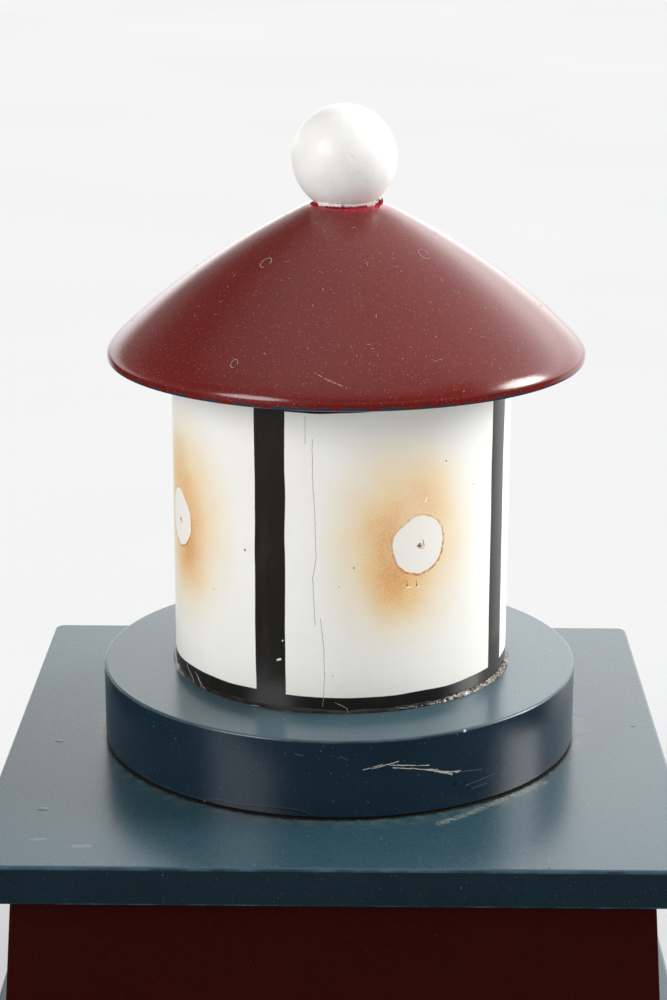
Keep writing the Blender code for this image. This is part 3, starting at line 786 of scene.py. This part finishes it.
ball = {"radius": (ballHigh.x - ballLow.x) / 2, "foot": 16.0, "steps": 224, "rings": 84,
        "centre": axisOf(ballLow, ballHigh),
        "lump": 0.16, "lumpSize": 9, "wrinkle": 0.2, "wrinkleSize": 2.6, "wrinkleArea": 13,
        "sink": 0.05, "evenBelow": 2, "fadeOver": 5,
        # dents are (place from the ball's middle, radius, depth)
        "dents": [((3.85, -26.0, 3.4), 1.3, 0.45), ((-6.0, -25.0, -4.5), 1.6, 0.2),
                  ((9.5, -22.0, -9.0), 1.8, 0.22), ((14.0, 21.0, 6.0), 1.4, 0.3)]}
ball["middle"] = Vector((ball["centre"].x, ball["centre"].y, ballHigh.z - ball["radius"]))


def makeBall():
    radius, foot = ball["radius"], ball["foot"] * mm
    seat = -math.degrees(math.acos(foot / radius))
    curve = roundCorner((0, ball["middle"].z), radius, seat, 90, ball["rings"])
    curve[-1] = (0, ballHigh.z)
    form = turnForm([(0, ballLow.z), (foot, ballLow.z)] + curve, ball["centre"], ball["steps"])
    for vert in form.verts:
        reach = vert.co - ball["middle"]
        fade = (vert.co.z - ballLow.z - ball["evenBelow"] * mm) / (ball["fadeOver"] * mm)
        fade = min(1, max(0, fade))
        lump = noise.noise(vert.co / (ball["lumpSize"] * mm)) * ball["lump"]
        area = noise.noise(vert.co / (ball["wrinkleArea"] * mm) + Vector((3, 1, 7)))
        wrinkle = noise.noise(vert.co / (ball["wrinkleSize"] * mm)) * ball["wrinkle"]
        lump += wrinkle * max(0, area)
        for place, size, depth in ball["dents"]:
            near = (reach / mm - Vector(place)).length / size
            lump -= depth * max(0, 1 - near * near)
        vert.co += reach.normalized() * (lump - ball["sink"]) * fade * mm
    form = boreFor(form, ["finial_dowel"])
    return finishPiece("finialBall", form, ballFinish, ["finial_ball"], 50, False)


def makeRoof():
    form = turnForm(roofProfile, roof["centre"], roof["steps"])
    for vert in form.verts:  # a hand-sanded slope is never quite even
        reach = (vert.co - roof["centre"]).xy.length
        if roof["waveFrom"] * mm < reach < roof["waveTo"] * mm:
            vert.co.z += noise.noise(vert.co / (roof["waveSize"] * mm)) * roof["wave"] * mm
    form = boreFor(form, ["finial_dowel", "roof_dowel"])
    return finishPiece("roofCone", form, roofFinish, ["roof_cone"], 40, False)


def makeDrum():
    radius = drumRadius
    rows = lantern["rows"]
    heights = [drumLow.z + (drumHigh.z - drumLow.z) * i / rows for i in range(rows + 1)]
    outline = [(0, drumLow.z)] + [(radius, z) for z in heights] + [(0, drumHigh.z)]
    form = turnForm(outline, drumCentre, lantern["steps"])
    for vert in form.verts:
        if (vert.co - drumCentre).xy.length > radius * 0.9:
            push = (vert.co - drumCentre).xy.normalized()
            drawn = Vector((vert.co.x, vert.co.y, vert.co.z / 3)) / (lantern["waveSize"] * mm)
            vert.co.xy += push * noise.noise(drawn) * lantern["wave"] * mm
    paths = []
    for crack in lantern["cracks"]:
        last = len(crack) - 1
        paths.append([(onTurning(drumCentre, radius, *point), 0.4 if i in (0, last) else 1.0)
                      for i, point in enumerate(crack)])
    holes = [(point, *lantern["nailHole"]) for point in lantern["nails"]]
    holes += [(point, *lantern["stapleHole"]) for point in lantern["staples"]]
    cutter = threadForm(paths, lantern["crackWidth"] * mm, 0)
    for (arc, height), size, depth in holes:
        made = bmesh.ops.create_cone(cutter, cap_ends=True, segments=14, radius1=size * mm,
                                     radius2=size * mm * 0.7, depth=2 * depth * mm)
        turn = arc * mm / radius
        aim = Vector((-math.sin(turn), math.cos(turn), 0)).to_track_quat("Z", "Y").to_matrix()
        bmesh.ops.rotate(cutter, verts=made["verts"], cent=(0, 0, 0), matrix=aim)
        bmesh.ops.translate(cutter, verts=made["verts"],
                            vec=onTurning(drumCentre, radius, arc, height))
    form = carve(form, cutter)
    form = boreFor(form, ["roof_dowel", "drum_dowel"] + screwNames("drum_screw", 3))
    layMap(form, drumCentre, radius)
    return finishPiece("lanternDrum", form, lanternFinish, ["lantern_drum"], 35,
                       False)


disc = {
    "centre": axisOf(discLow, discHigh),
    "radius": (discHigh.x - discLow.x) / 2, "roundOver": 1.3, "chamfer": 1.0, "steps": 320,
    "ground": "#132836", "streak": "#182f3e", "cloud": "#10222d", "film": "#566769",
    # the paler colour for the tops is partly settled dust, partly a painted sheen of what they
    # mirror
    "haze": "#48656f", "dust": "#a4aca6", "pit": "#101a22", "gloss": 0.22, "sheen": 0.5,
    "brushDepth": 0.004, "strokes": (0.5, 0.5, 0.8), "rows": 12, "wave": 0.12, "waveSize": 40,
    "pinholes": [((60.1, 12.9), 1.1), ((-160, 22), 0.9)],
    "drips": [((65.3, 39.9), 1.0), ((-68.7, 0.6), 0.9)],
    "scratches": [((12.9, 25.7), (22.5, 28.1), 0.45), ((17.3, 26.2), (30.5, 29.0), 0.6),
                  ((24.6, 27.7), (45.9, 25.2), 0.65), ((27.6, 26.0), (51.7, 22.0), 0.55),
                  ((36.0, 25.0), (54.0, 20.6), 0.5), ((45.4, 22.6), (61.7, 18.9), 0.65),
                  ((49.0, 21.6), (58.4, 18.5), 0.9), ((53.0, 20.2), (63.0, 19.4), 0.6)],
    "faint": [((60, 19.2), (76, 17.4), 0.35), ((66, 11.0), (84, 13.2), 0.35),
              ((70, 8.6), (79, 9.3), 0.3), ((-20, 33.5), (-16, 32.6), 0.3),
              ((2.0, 33.0), (5.5, 31.0), 0.3)],
    "sag": [(-122, 2.5), (-112, 1.0), (-102.6, 0.6), (-92, 1.0), (-81.4, 0.8), (-67.5, 1.2),
            (-58.1, 3.5), (-51.5, 2.7), (-34.1, 4.3), (-22.0, 4.0), (-14.0, 2.4), (-11.2, 1.1)]}
disc["reach"] = disc["radius"] / mm
# the top edge band is rubbed wear and a painted highlight; the darker foot band is painted shade
# where the disc meets the slab
disc["edges"] = [(discHigh.z / mm - 1.2, discHigh.z / mm - 0.2, 0.3, "#6d8088"),
                 (discLow.z / mm, discLow.z / mm + 1.2, 0.5, "#0f1a22")]


def discExtras(tree, place):
    # paint that sagged round the foot, with a painted highlight line beside it, scratches on the
    # side, pinholes and white drips
    laid = addNode(tree, "UVMap", uv_map="turning")
    waver = sway(tree, laid, 0.6, 3.0, (1.4, 0.7, 0))
    sag = strokes(tree, waver, pathLines(disc["sag"], 1.0))
    # a paler line just above the sag: a painted highlight
    lip = strokes(tree, waver, pathLines([(a, h + 0.8) for a, h in disc["sag"]], 0.8))
    faint = strokes(tree, waver, disc["faint"])
    scratch = strokes(tree, waver, disc["scratches"])
    skip = patches(tree, laid, 1.6, 0.36, 0.46, 2.0, (0.5, 2, 1))
    return [(lip, "#3a5260", 0.3), (sag, "#060c11", 0.9), (faint, "#8d9aa0", 0.4),
            (joinMasks(tree, [scratch, skip], "MULTIPLY"), "#c9c0ae"),
            (dots(tree, laid, disc["pinholes"]), "#0a1016"),
            (dots(tree, waver, disc["drips"]), "#d5d2c8")]


def makeDisc():
    over, chamfer = disc["roundOver"] * mm, disc["chamfer"] * mm
    top = roundCorner((disc["radius"] - over, discHigh.z - over), over, 0, 90, 6)
    start, rise = discLow.z + chamfer, discHigh.z - over - discLow.z - chamfer
    side = [(disc["radius"], start + rise * i / disc["rows"]) for i in range(disc["rows"])]
    outline = [(0, discLow.z), (disc["radius"] - chamfer, discLow.z)] + side + top
    form = turnForm(outline + [(0.06, discHigh.z), (0, discHigh.z)], disc["centre"],
                    disc["steps"])
    for vert in form.verts:
        if (vert.co - disc["centre"]).xy.length > disc["radius"] * 0.9:
            push = (vert.co - disc["centre"]).xy.normalized()
            vert.co.xy += push * noise.noise(vert.co / (disc["waveSize"] * mm)) * disc["wave"] * mm
    form = boreFor(form, ["drum_dowel"] + screwNames("drum_screw", 3)
                   + screwNames("disc_screw", 4))
    layMap(form, disc["centre"], disc["radius"])
    return finishPiece("galleryDisc", form, discFinish, ["gallery_disc"], 40,
                       False, True)


# Torn paint, pooled paint, fibres and dust

neck = {
    # arcs are (from, to, height): degrees round from the front, and millimetres
    "whiteArcs": [(-62, -8, 2.8), (-8, 20, 1.0), (36, 70, 2.4), (110, 165, 1.8), (200, 262, 1.6)],
    "redArcs": [(-80, -52, 1.9), (-46, 36, 0.8), (54, 84, 2.6), (84, 130, 0.9), (170, 240, 1.1)],
    "whiteReach": 16.8, "redReach": 17.5, "sunk": 0.35, "rows": (0.45, 0.55), "taper": 12,
    "thickness": 0.28}


def makeFlakes(name, arcs, reach, seed, finish):
    # ragged upright skins of torn paint round the ball's neck, lower towards their first end
    chance = random.Random(seed)
    form = bmesh.new()
    for first, last, tall in arcs:
        steps = max(6, int(last - first))
        corners = []
        for i in range(steps + 1):
            turn = math.radians(first + (last - first) * i / steps)
            out = (reach + chance.uniform(-0.15, 0.35)) * mm
            corners.append(form.verts.new((roof["centre"].x + out * math.sin(turn),
                                           roof["centre"].y - out * math.cos(turn),
                                           roofHigh.z - neck["sunk"] * mm)))
        low = [form.edges.new(pair) for pair in zip(corners, corners[1:])]
        for share in neck["rows"]:
            made = bmesh.ops.extrude_edge_only(form, edges=low)["geom"]
            low = [g for g in made if isinstance(g, bmesh.types.BMEdge)]
            for vert in dict.fromkeys(v for e in low for v in e.verts):  # each once, in order
                turn = math.atan2(vert.co.x - roof["centre"].x, roof["centre"].y - vert.co.y)
                end = abs(math.degrees(turn) % 360 - first % 360) / neck["taper"]
                rise = tall * share * chance.uniform(0.45, 1.15) * (0.35 + 0.65 * min(1, end))
                vert.co.z += rise * mm
                vert.co.xy += (vert.co - roof["centre"]).xy.normalized() \
                    * chance.uniform(-0.1, 0.3) * mm
    bmesh.ops.solidify(form, geom=form.faces[:], thickness=neck["thickness"] * mm)
    finishPiece(name, form, finish, [], 50)


bead = {
    # the fillet's outline, outward from the drum and up from the disc
    "outline": [(-0.3, 0.0), (1.5, 0.05), (1.25, 0.45), (0.75, 0.95), (0.3, 1.6), (-0.3, 1.9),
                (-0.3, 0.0)],
    "steps": 540, "swell": 0.45, "swellSize": 7, "grit": 0.55, "gritSize": 1.5,
    "gritFrom": 14, "gritTo": 100, "gritElsewhere": 0.1}


def makeBead():
    # enamel that ran down the drum and pooled on the disc in an uneven fillet
    outline = [(drumRadius + r * mm, discHigh.z + z * mm) for r, z in bead["outline"]]
    form = turnForm(outline, drumCentre, bead["steps"])
    for vert in form.verts:
        out = (vert.co - drumCentre).xy
        turn = math.degrees(math.atan2(out.x, -out.y))
        rough = 1.0 if bead["gritFrom"] < turn < bead["gritTo"] else bead["gritElsewhere"]
        way = Vector((out.normalized().x, out.normalized().y, 0))
        size = (out.length - drumRadius) / mm
        swell = noise.noise(vert.co / (bead["swellSize"] * mm)) * bead["swell"]
        swell += noise.noise(vert.co / (bead["gritSize"] * mm)) * bead["grit"] * rough
        if size > 0.1:
            vert.co += way * swell * size * 0.7 * mm
        if vert.co.z > discHigh.z + 0.2 * mm:
            vert.co.z += swell * (vert.co.z - discHigh.z) * 0.6
    finishPiece("footEnamelBead", form, beadFinish, [], 60)


def wander(start, way, normal, length, bends, chance, steps=9):
    # a fibre's path on a surface, turning as it goes
    point, way, path = Vector(start), Vector(way).normalized(), []
    curl = chance.uniform(-bends, bends)
    for i in range(steps):
        path.append((point.copy(), 0.6 if i in (0, steps - 1) else 1.0))
        curl += chance.uniform(-bends, bends) * 0.5
        way = Matrix.Rotation(curl, 3, normal) @ way
        point = point + way * length / steps
    return path


lint = {"seed": 11, "count": 90, "from": 22, "over": 90, "lift": 0.25, "length": (0.9, 3.2),
        "bends": 0.3, "steps": 7, "thickness": 0.12,
        # curls are (degrees round from the front, millimetres from the axis, radius)
        "curls": [(44.7, 54.3, 3.1), (-40.5, 59.5, 3.0), (-28, 110, 1.8), (150, 70, 2.6)],
        "curlLift": 0.16, "curlThickness": 1.5}


def makeRoofLint():
    # lint caught in the roof's paint: short fibres all over and a few open curls
    chance = random.Random(lint["seed"])
    paths = []
    for i in range(lint["count"]):
        turn = chance.uniform(-180, 180)
        reach = lint["from"] + lint["over"] * math.sqrt(chance.random())
        here, there = onRoof(turn, reach), onRoof(turn, reach + 0.6)
        down = (there - here).normalized()
        across = Vector((math.cos(math.radians(turn)), math.sin(math.radians(turn)), 0))
        normal = across.cross(down)
        if normal.z < 0:
            normal = normal * -1
        way = Matrix.Rotation(chance.uniform(0, math.tau), 3, normal) @ across
        length = chance.uniform(*lint["length"]) * mm
        paths.append(wander(here + normal * lint["lift"] * mm, way, normal, length,
                            lint["bends"], chance, lint["steps"]))
    for turn, reach, size in lint["curls"]:
        loop = []
        for i in range(15):
            angle = math.tau * i / 16.5 + 1.1
            aside = math.degrees(size * 0.9 * math.cos(angle) / reach)
            place = onRoof(turn + aside, reach + size * math.sin(angle), lint["curlLift"])
            loop.append((place, lint["curlThickness"]))
        paths.append(loop)
    form = threadForm(paths, lint["thickness"] * mm, 0)
    finishPiece("roofLint", form, lintFinish, [], 180)


fibres = {
    "seed": 5, "thickness": 0.17, "steps": 8, "ground": 41.1, "upright": 44, "crumbs": 70,
    # strands are (place round the drum, height of the first end, length) on the drum's map
    "strands": [(-96, 49, 13), (-88, 47.5, 12), (-85, 47, 10), (-1, 47, 7), (61, 42.2, 22),
                (44, 42.0, 15), (84, 42.6, 18), (96, 43.2, 12), (112, 44.5, 9), (30, 42.2, 10),
                (150, 42.4, 14)],
    # crumbs lie in drifts, as (from, to, thickest at) round the drum
    "drifts": [(38, 72, 58), (84, 130, 108), (84, 130, 104)], "crumbSize": (0.22, 0.62)}


def makeFootFibres():
    # fibres and crumbs caught in the paint round the drum's foot
    chance = random.Random(fibres["seed"])
    paths = []
    steps, ground = fibres["steps"], fibres["ground"]
    for arc, height, length in fibres["strands"]:
        path, lean = [], chance.uniform(0.5, 1.2)
        upright = height > fibres["upright"]  # these run down the drum, the others lie round it
        for i in range(steps + 1):
            share = i / steps
            drop = (height - ground - 0.5) * (1 - share) if upright \
                else 0.6 + chance.uniform(0, 0.9)
            out = 0.2 + (0 if upright else 1.2) + chance.uniform(0, 0.3) + 1.6 * share
            along = arc + 1.3 * math.sin(share * 5 + arc) + length * lean * share * 0.8
            place = onTurning(drumCentre, drumRadius, along, ground + max(0.25, drop), out)
            path.append((place, 1.0 if 0 < i < steps else 0.5))
        paths.append(path)
    form = threadForm(paths, fibres["thickness"] * mm, 0)
    for i in range(fibres["crumbs"]):
        arc = chance.choice([chance.triangular(*drift) for drift in fibres["drifts"]])
        made = bmesh.ops.create_icosphere(form, subdivisions=1, radius=1.0)
        size = chance.uniform(*fibres["crumbSize"]) * (0.7 if arc < 60 else 1.0)
        stretch = Vector((chance.uniform(0.7, 1.6), chance.uniform(0.6, 1.1),
                          chance.uniform(0.5, 0.9)))
        bmesh.ops.scale(form, verts=made["verts"], vec=stretch * size * mm)
        bmesh.ops.rotate(form, verts=made["verts"], cent=(0, 0, 0),
                         matrix=Matrix.Rotation(chance.uniform(0, 3), 3, "Z"))
        height = ground + 0.1 + chance.uniform(0, 1.5) * (arc > 60)
        place = onTurning(drumCentre, drumRadius, arc, height, chance.uniform(0.5, 1.7))
        bmesh.ops.translate(form, verts=made["verts"], vec=place)
    finishPiece("footFibres", form, fibreFinish, [], 180, False)


# Boards

slab = {
    "corner": 5.0, "roundOver": 1.7, "ground": "#12262f", "streak": "#172d38",
    # the paler colour for the tops is partly settled dust, partly a painted sheen of what they
    # mirror
    "cloud": "#0f2028", "film": "#45595f", "haze": "#2f525f", "dust": "#9aa39d",
    "pit": "#0e171e", "gloss": 0.24, "sheen": 0.5, "brushDepth": 0.0035,
    "strokes": (0.06, 1.0, 1.0),
    # a smear along the disc's foot, and smears and pinholes elsewhere
    "arc": [(51, -118), (68, -103), (82, -89), (95, -77), (105, -66)],
    "smears": [((-143, -139.5), (-137, -138.5), 3.0), ((-122, -147), (-115, -146), 4.0),
               ((88.0, -149.5), (89.5, -147.5), 0.7)],
    "pinholes": [((-160, 34.8), 0.9), ((150, -88), 0.8)],
    # nibs are (place, size) of lumps under the paint
    "nibs": [((-145.0, -15.5), (2.4, 1.8, 0.2)), ((-142.3, -103.8), (3.0, 2.0, 0.16)),
             ((157.9, 11.1), (1.4, 1.1, 0.16)), ((100.4, -167.0), (0.8, 0.7, 0.15))]}
slab["reach"] = slabHigh.x / mm
# the slab's pale edge bands are rubbed wear and painted highlights on its rounded edges
slab["edges"] = [(slabTop / mm - 1.5, slabTop / mm - 0.3, 0.4, "#4b7389"),
                 (slabLow.z / mm - 0.3, slabLow.z / mm + 1.1, 0.6, "#45657c")]

base = dict(slab, strokes=(1.0, 0.06, 1.0), reach=baseHigh.x / mm, ground="#15272f")
# the base's pale edge bands, as on the slab: rubbed wear and painted highlights
base["edges"] = [(baseHigh.z / mm - 1.9, baseHigh.z / mm - 0.3, 0.6, "#5d7a88"),
                 (baseLow.z / mm - 0.3, baseLow.z / mm + 1.5, 0.6, "#6d7f88")]


def slabExtras(tree, place):
    # dust and old glue gather in the corner round the disc's foot, with painted shade darkening the
    # joint
    reach = roundReach(tree, place, disc["centre"])
    rag = patches(tree, place, 3.5, 0.3, 0.7, 4.0)
    reach = addNode(tree, "Math", [rag, -1.7, reach], operation="MULTIPLY_ADD")
    # a dark ring in the corner at the disc's foot: dust and glue, and painted shade of the joint
    crustAndShade = addNode(tree, "MapRange", [reach, disc["reach"] + 0.2, disc["reach"] + 1.2, 1.0, 0.0])
    flat = addNode(tree, "VectorMath", [place, (1, 1, 0)], operation="MULTIPLY")
    film = addNode(tree, "MapRange", [reach, disc["reach"] + 1, disc["reach"] + 14, 0.35, 0.0],
                   interpolation_type="SMOOTHSTEP")
    cloud = patches(tree, place, 8, 0.4, 0.65, 4.0)
    arc = strokes(tree, flat, pathLines(slab["arc"], 7.0))
    streaky = patches(tree, place, 2.0, 0.35, 0.65, 4.0)
    smears = strokes(tree, flat, slab["smears"])
    return [(joinMasks(tree, [film, cloud], "MULTIPLY"), "#6f776f"),
            (joinMasks(tree, [arc, streaky, addNode(tree, "MapRange", [arc, 0, 1, 0, 0.55])],
                       "MULTIPLY"), "#a3a596"),
            (smears, "#8fa0a4", 0.3),
            (crustAndShade, "#2b2720"),
            (dots(tree, flat, slab["pinholes"]), "#0a1016")]


def baseExtras(tree, place):
    # the underside was left bare, with ragged paint along its margins
    z = addNode(tree, "SeparateXYZ", [place]).node.outputs[2]
    rag = patches(tree, place, 14, 0.3, 0.7, 4.0)
    reach = squareReach(tree, place)
    reach = addNode(tree, "Math", [rag, 12.0, reach], operation="MULTIPLY_ADD")
    margin = addNode(tree, "MapRange", [reach, base["reach"] - 3, base["reach"] - 1, 1.0, 0.0])
    under = addNode(tree, "MapRange", [z, 0.05, 0.3, 1.0, 0.0])
    bare = joinMasks(tree, [margin, under], "MULTIPLY")
    grain = patches(tree, place, 2.4, 0.35, 0.65, 3.0, (1.0, 0.03, 1.0))
    return [(bare, layPaint(tree, "#c9a473", [(grain, "#9c7443", 0.6)]))]


def boardForm(low, high, corner, over):
    # a board with rounded corners and eased edges
    form = bmesh.new()
    bmesh.ops.create_cube(form, size=1.0)
    bmesh.ops.scale(form, verts=form.verts, vec=high - low)
    bmesh.ops.translate(form, verts=form.verts, vec=(low + high) / 2)
    upright = [e for e in form.edges if abs(e.verts[0].co.z - e.verts[1].co.z) > mm]
    bmesh.ops.bevel(form, geom=upright, offset=corner, segments=8, profile=0.5,
                    affect="EDGES", material=-1)
    rims = [e for e in form.edges if abs(e.verts[0].co.z - e.verts[1].co.z) < mm
            and e.calc_face_angle(0) > 1]
    bmesh.ops.bevel(form, geom=rims, offset=over, segments=5, profile=0.5, affect="EDGES",
                    material=-1)
    return form


def makeSlab():
    form = boardForm(slabLow, slabHigh, slab["corner"] * mm, slab["roundOver"] * mm)
    form = boreFor(form, screwNames("disc_screw", 4) + screwNames("batten_screw", 4))
    finishPiece("gallerySlab", form, slabFinish, ["gallery_slab"], 30, False,
                True)
    form = bmesh.new()
    for (x, y), size in slab["nibs"]:
        made = bmesh.ops.create_uvsphere(form, u_segments=20, v_segments=12, radius=1.0)
        bmesh.ops.scale(form, verts=made["verts"], vec=Vector(size) * mm)
        bmesh.ops.translate(form, verts=made["verts"], vec=(x * mm, y * mm, slabTop))
    finishPiece("slabPaintNibs", form, slabFinish, [], 60)


def makeBase():
    form = boardForm(baseLow, baseHigh, slab["corner"] * mm, slab["roundOver"] * mm)
    form = boreFor(form, screwNames("base_screw", 4))
    return finishPiece("baseSlab", form, baseFinish, ["base_slab"], 30, False,
                       True)


# the tower's red is set far darker than the roof's, matched to how it looks in the shade beneath
# the slab, so its darkness is partly painted shade
tower = {
    "ground": "#2d0703", "streak": "#370904", "cloud": "#290502", "film": "#3a0d08",
    "filmShare": 0.2, "speckShare": 0.14, "dust": "#6b3a36", "pit": "#120404", "gloss": 0.42,
    "sheen": 0.05, "brushDepth": 0.012, "strokes": (0.05, 0.05, 1.0), "easing": 1.2}

joinery = {"easing": 0.8, "dowelEasing": 0.4}

print("plans ready")
slab["extras"], base["extras"], disc["extras"] = slabExtras, baseExtras, discExtras
roofFinish = makeRedFinish("roofEnamelOnPine", roof)
towerFinish = makeRedFinish("towerEnamelOnPine", tower)
discFinish = makeSlateFinish("discEnamelOnPine", disc)
slabFinish = makeSlateFinish("slabEnamelOnPine", slab)
baseFinish = makeSlateFinish("baseEnamelOnPine", base)
lanternFinish = makeLanternFinish()
ballFinish = makeBallFinish()
pineFinish = makePineFinish()
screwFinish = makeScrewFinish()
lintFinish = makeLintFinish()
beadFinish = makeBeadFinish()
fibreFinish = makeFibreFinish()
whiteFlake = makeFlakeFinish("tornWhiteEnamel", "#f7f6f4", "#ece6e2")
redFlake = makeFlakeFinish("tornRedEnamel", "#b3142d", "#6a0d18")

makeBall()
makeRoof()
makeDrum()
makeDisc()
print("turned pieces made")
makeFlakes("neckWhiteFlakes", neck["whiteArcs"], neck["whiteReach"], 3, whiteFlake)
makeFlakes("neckRedFlakes", neck["redArcs"], neck["redReach"], 8, redFlake)
makeBead()
makeRoofLint()
makeFootFibres()
print("torn paint, fibres and dust made")
makeSlab()
makeBase()
for side in ("front", "back", "left", "right"):
    refineNode(f"tower_board_{side}", towerFinish, tower["easing"] * mm, 3)
for side in ("left", "right"):
    refineNode(f"top_batten_{side}", pineFinish, joinery["easing"] * mm)
for i in range(1, 5):
    refineNode(f"corner_block_{i}", pineFinish, joinery["easing"] * mm)
for node in ("finial_dowel", "roof_dowel", "drum_dowel"):
    refineNode(node, pineFinish, joinery["dowelEasing"] * mm)
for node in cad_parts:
    if "screw" in node:
        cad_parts[node].data.materials.clear()
        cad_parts[node].data.materials.append(screwFinish)
print("boards and fixings made")


# Floor, light and camera

studio = {
    "floor": "#aaaaab", "floorGlow": 0.37, "floorReach": 30.0, "keyTurn": -47, "keyRise": 25,
    "keyPower": 1.7, "keySpread": 30, "rimTurn": 99, "rimRise": 24, "rimPower": 2.8,
    "rimSpread": 26,
    # how bright the room is, by the height of the direction from -1 straight down to 1 up
    "overhead": {"stops": [(-1, 0.02), (-0.02, 0.02), (0.03, 0.34), (0.35, 0.34), (0.5, 0.15),
                           (0.7, 0.15), (0.9, 0.68), (1, 0.9)]},
    # the lit backdrop above the floor and below it; turn is its middle, from the front
    "backdrop": {"stops": [(-1, 0.0), (-0.02, 0.0), (0.02, 1.6), (0.22, 1.6), (0.34, 2.25),
                           (0.42, 2.25), (0.6, 1.35), (1, 0.0)], "turn": 138, "from": 0.35,
                 "to": 0.85},
    "leftWall": {"stops": [(-1, 0.0), (-0.02, 0.0), (0.02, 1.3), (0.14, 1.3), (0.24, 0.0),
                           (1, 0.0)], "turn": 208, "from": 0.6, "to": 0.92},
    # the lower part of the left softbox, which the disc's side mirrors
    "strip": {"stops": [(-1, 0.0), (-0.36, 0.0), (-0.3, 0.35), (0.15, 0.35), (0.25, 0.0),
                        (1, 0.0)], "turn": -47, "from": 0.9, "to": 0.97},
    "lowBackdrop": {"stops": [(-1, 0.0), (-0.45, 0.0), (-0.28, 1.1), (-0.02, 1.3), (0.02, 0.0),
                              (1, 0.0)], "turn": 165, "from": 0.6, "to": 0.85}}


def makeFloor():
    material, tree, place = startFinish("studioFloor")
    cloud = patches(tree, place, 900, 0.3, 0.7)
    colour = layPaint(tree, studio["floor"], [(cloud, "#e9ebee", 0.05)])
    endFinish(tree, {"Base Color": colour, "Roughness": 0.9, "Specular IOR Level": 0.0,
                     "Emission Color": (1, 1, 1, 1), "Emission Strength": studio["floorGlow"]})
    form = bmesh.new()
    bmesh.ops.create_circle(form, cap_ends=True, segments=96, radius=studio["floorReach"])
    floor = placeObject("studioFloor", meshFrom("studioFloor", form))
    floor.data.materials.append(material)
    floor.location.z = baseLow.z - 0.05 * mm
    floor.visible_glossy = False  # the paint's upright faces mirror a dark room, not the floor


def makeLight(name, turn, rise, power, spread):
    # a big soft source far away; turn is from the front, to the right
    lamp = bpy.data.lights.new(name, "SUN")
    lamp.energy = power
    lamp.angle = math.radians(spread)
    light = placeObject(name, lamp)
    turn, rise = math.radians(turn), math.radians(rise)
    towards = Vector((math.sin(turn) * math.cos(rise), -math.cos(turn) * math.cos(rise),
                      math.sin(rise)))
    light.rotation_euler = towards.to_track_quat("Z", "Y").to_euler()
    light.location = towards * 3


def makeWorld():
    world = bpy.data.worlds.new("studioRoom")
    bpy.context.scene.world = world
    world.use_nodes = True
    tree = world.node_tree
    tree.nodes.clear()
    way = addNode(tree, "TexCoord", output="Generated")
    z = addNode(tree, "SeparateXYZ", [way]).node.outputs[2]
    height = addNode(tree, "MapRange", [z, -1.0, 1.0, 0.0, 1.0])
    flat = addNode(tree, "VectorMath", [way, (1, 1, 0)], operation="MULTIPLY")
    flat = addNode(tree, "VectorMath", [flat], operation="NORMALIZE")
    colour = None
    for part in ("overhead", "backdrop", "leftWall", "strip", "lowBackdrop"):
        plan = studio[part]
        glow = addNode(tree, "ValToRGB", [height])
        fillRamp(glow, [((z + 1) / 2, (v, v, v, 1)) for z, v in plan["stops"]])
        if "turn" in plan:
            turn = math.radians(plan["turn"])
            side = addNode(tree, "VectorMath", [flat, (math.sin(turn), -math.cos(turn), 0)],
                           "Value", operation="DOT_PRODUCT")
            side = addNode(tree, "MapRange", [side, plan["from"], plan["to"], 0.0, 1.0],
                           interpolation_type="SMOOTHSTEP")
            glow = addNode(tree, "VectorMath", {0: glow, "Scale": side}, operation="SCALE")
        colour = addNode(tree, "VectorMath", [colour, glow], operation="ADD") if colour else glow
    sky = addNode(tree, "Background", {"Color": colour, "Strength": 1.0})
    addNode(tree, "OutputWorld", [sky])


makeFloor()
makeWorld()
makeLight("keySoftbox", studio["keyTurn"], studio["keyRise"], studio["keyPower"],
          studio["keySpread"])
makeLight("rimSoftbox", studio["rimTurn"], studio["rimRise"], studio["rimPower"],
          studio["rimSpread"])

view = {"place": (13.91, -1175.48, 469.90), "turn": 0.7736, "down": 16.2196, "roll": 0.0911,
        "lens": 85.6}
lensBody = bpy.data.cameras.new("studioCamera")
lensBody.lens = view["lens"]
lensBody.sensor_width = 36
camera = placeObject("studioCamera", lensBody)
aim = (Matrix.Rotation(math.radians(view["turn"]), 4, "Z")
       @ Matrix.Rotation(math.radians(90 - view["down"]), 4, "X")
       @ Matrix.Rotation(math.radians(view["roll"]), 4, "Z"))
camera.matrix_world = Matrix.Translation(Vector(view["place"]) * mm
                                         + Vector((0, 0, slabTop))) @ aim
bpy.context.scene.camera = camera
bpy.context.scene.view_settings.view_transform = "Standard"
print("studio ready")
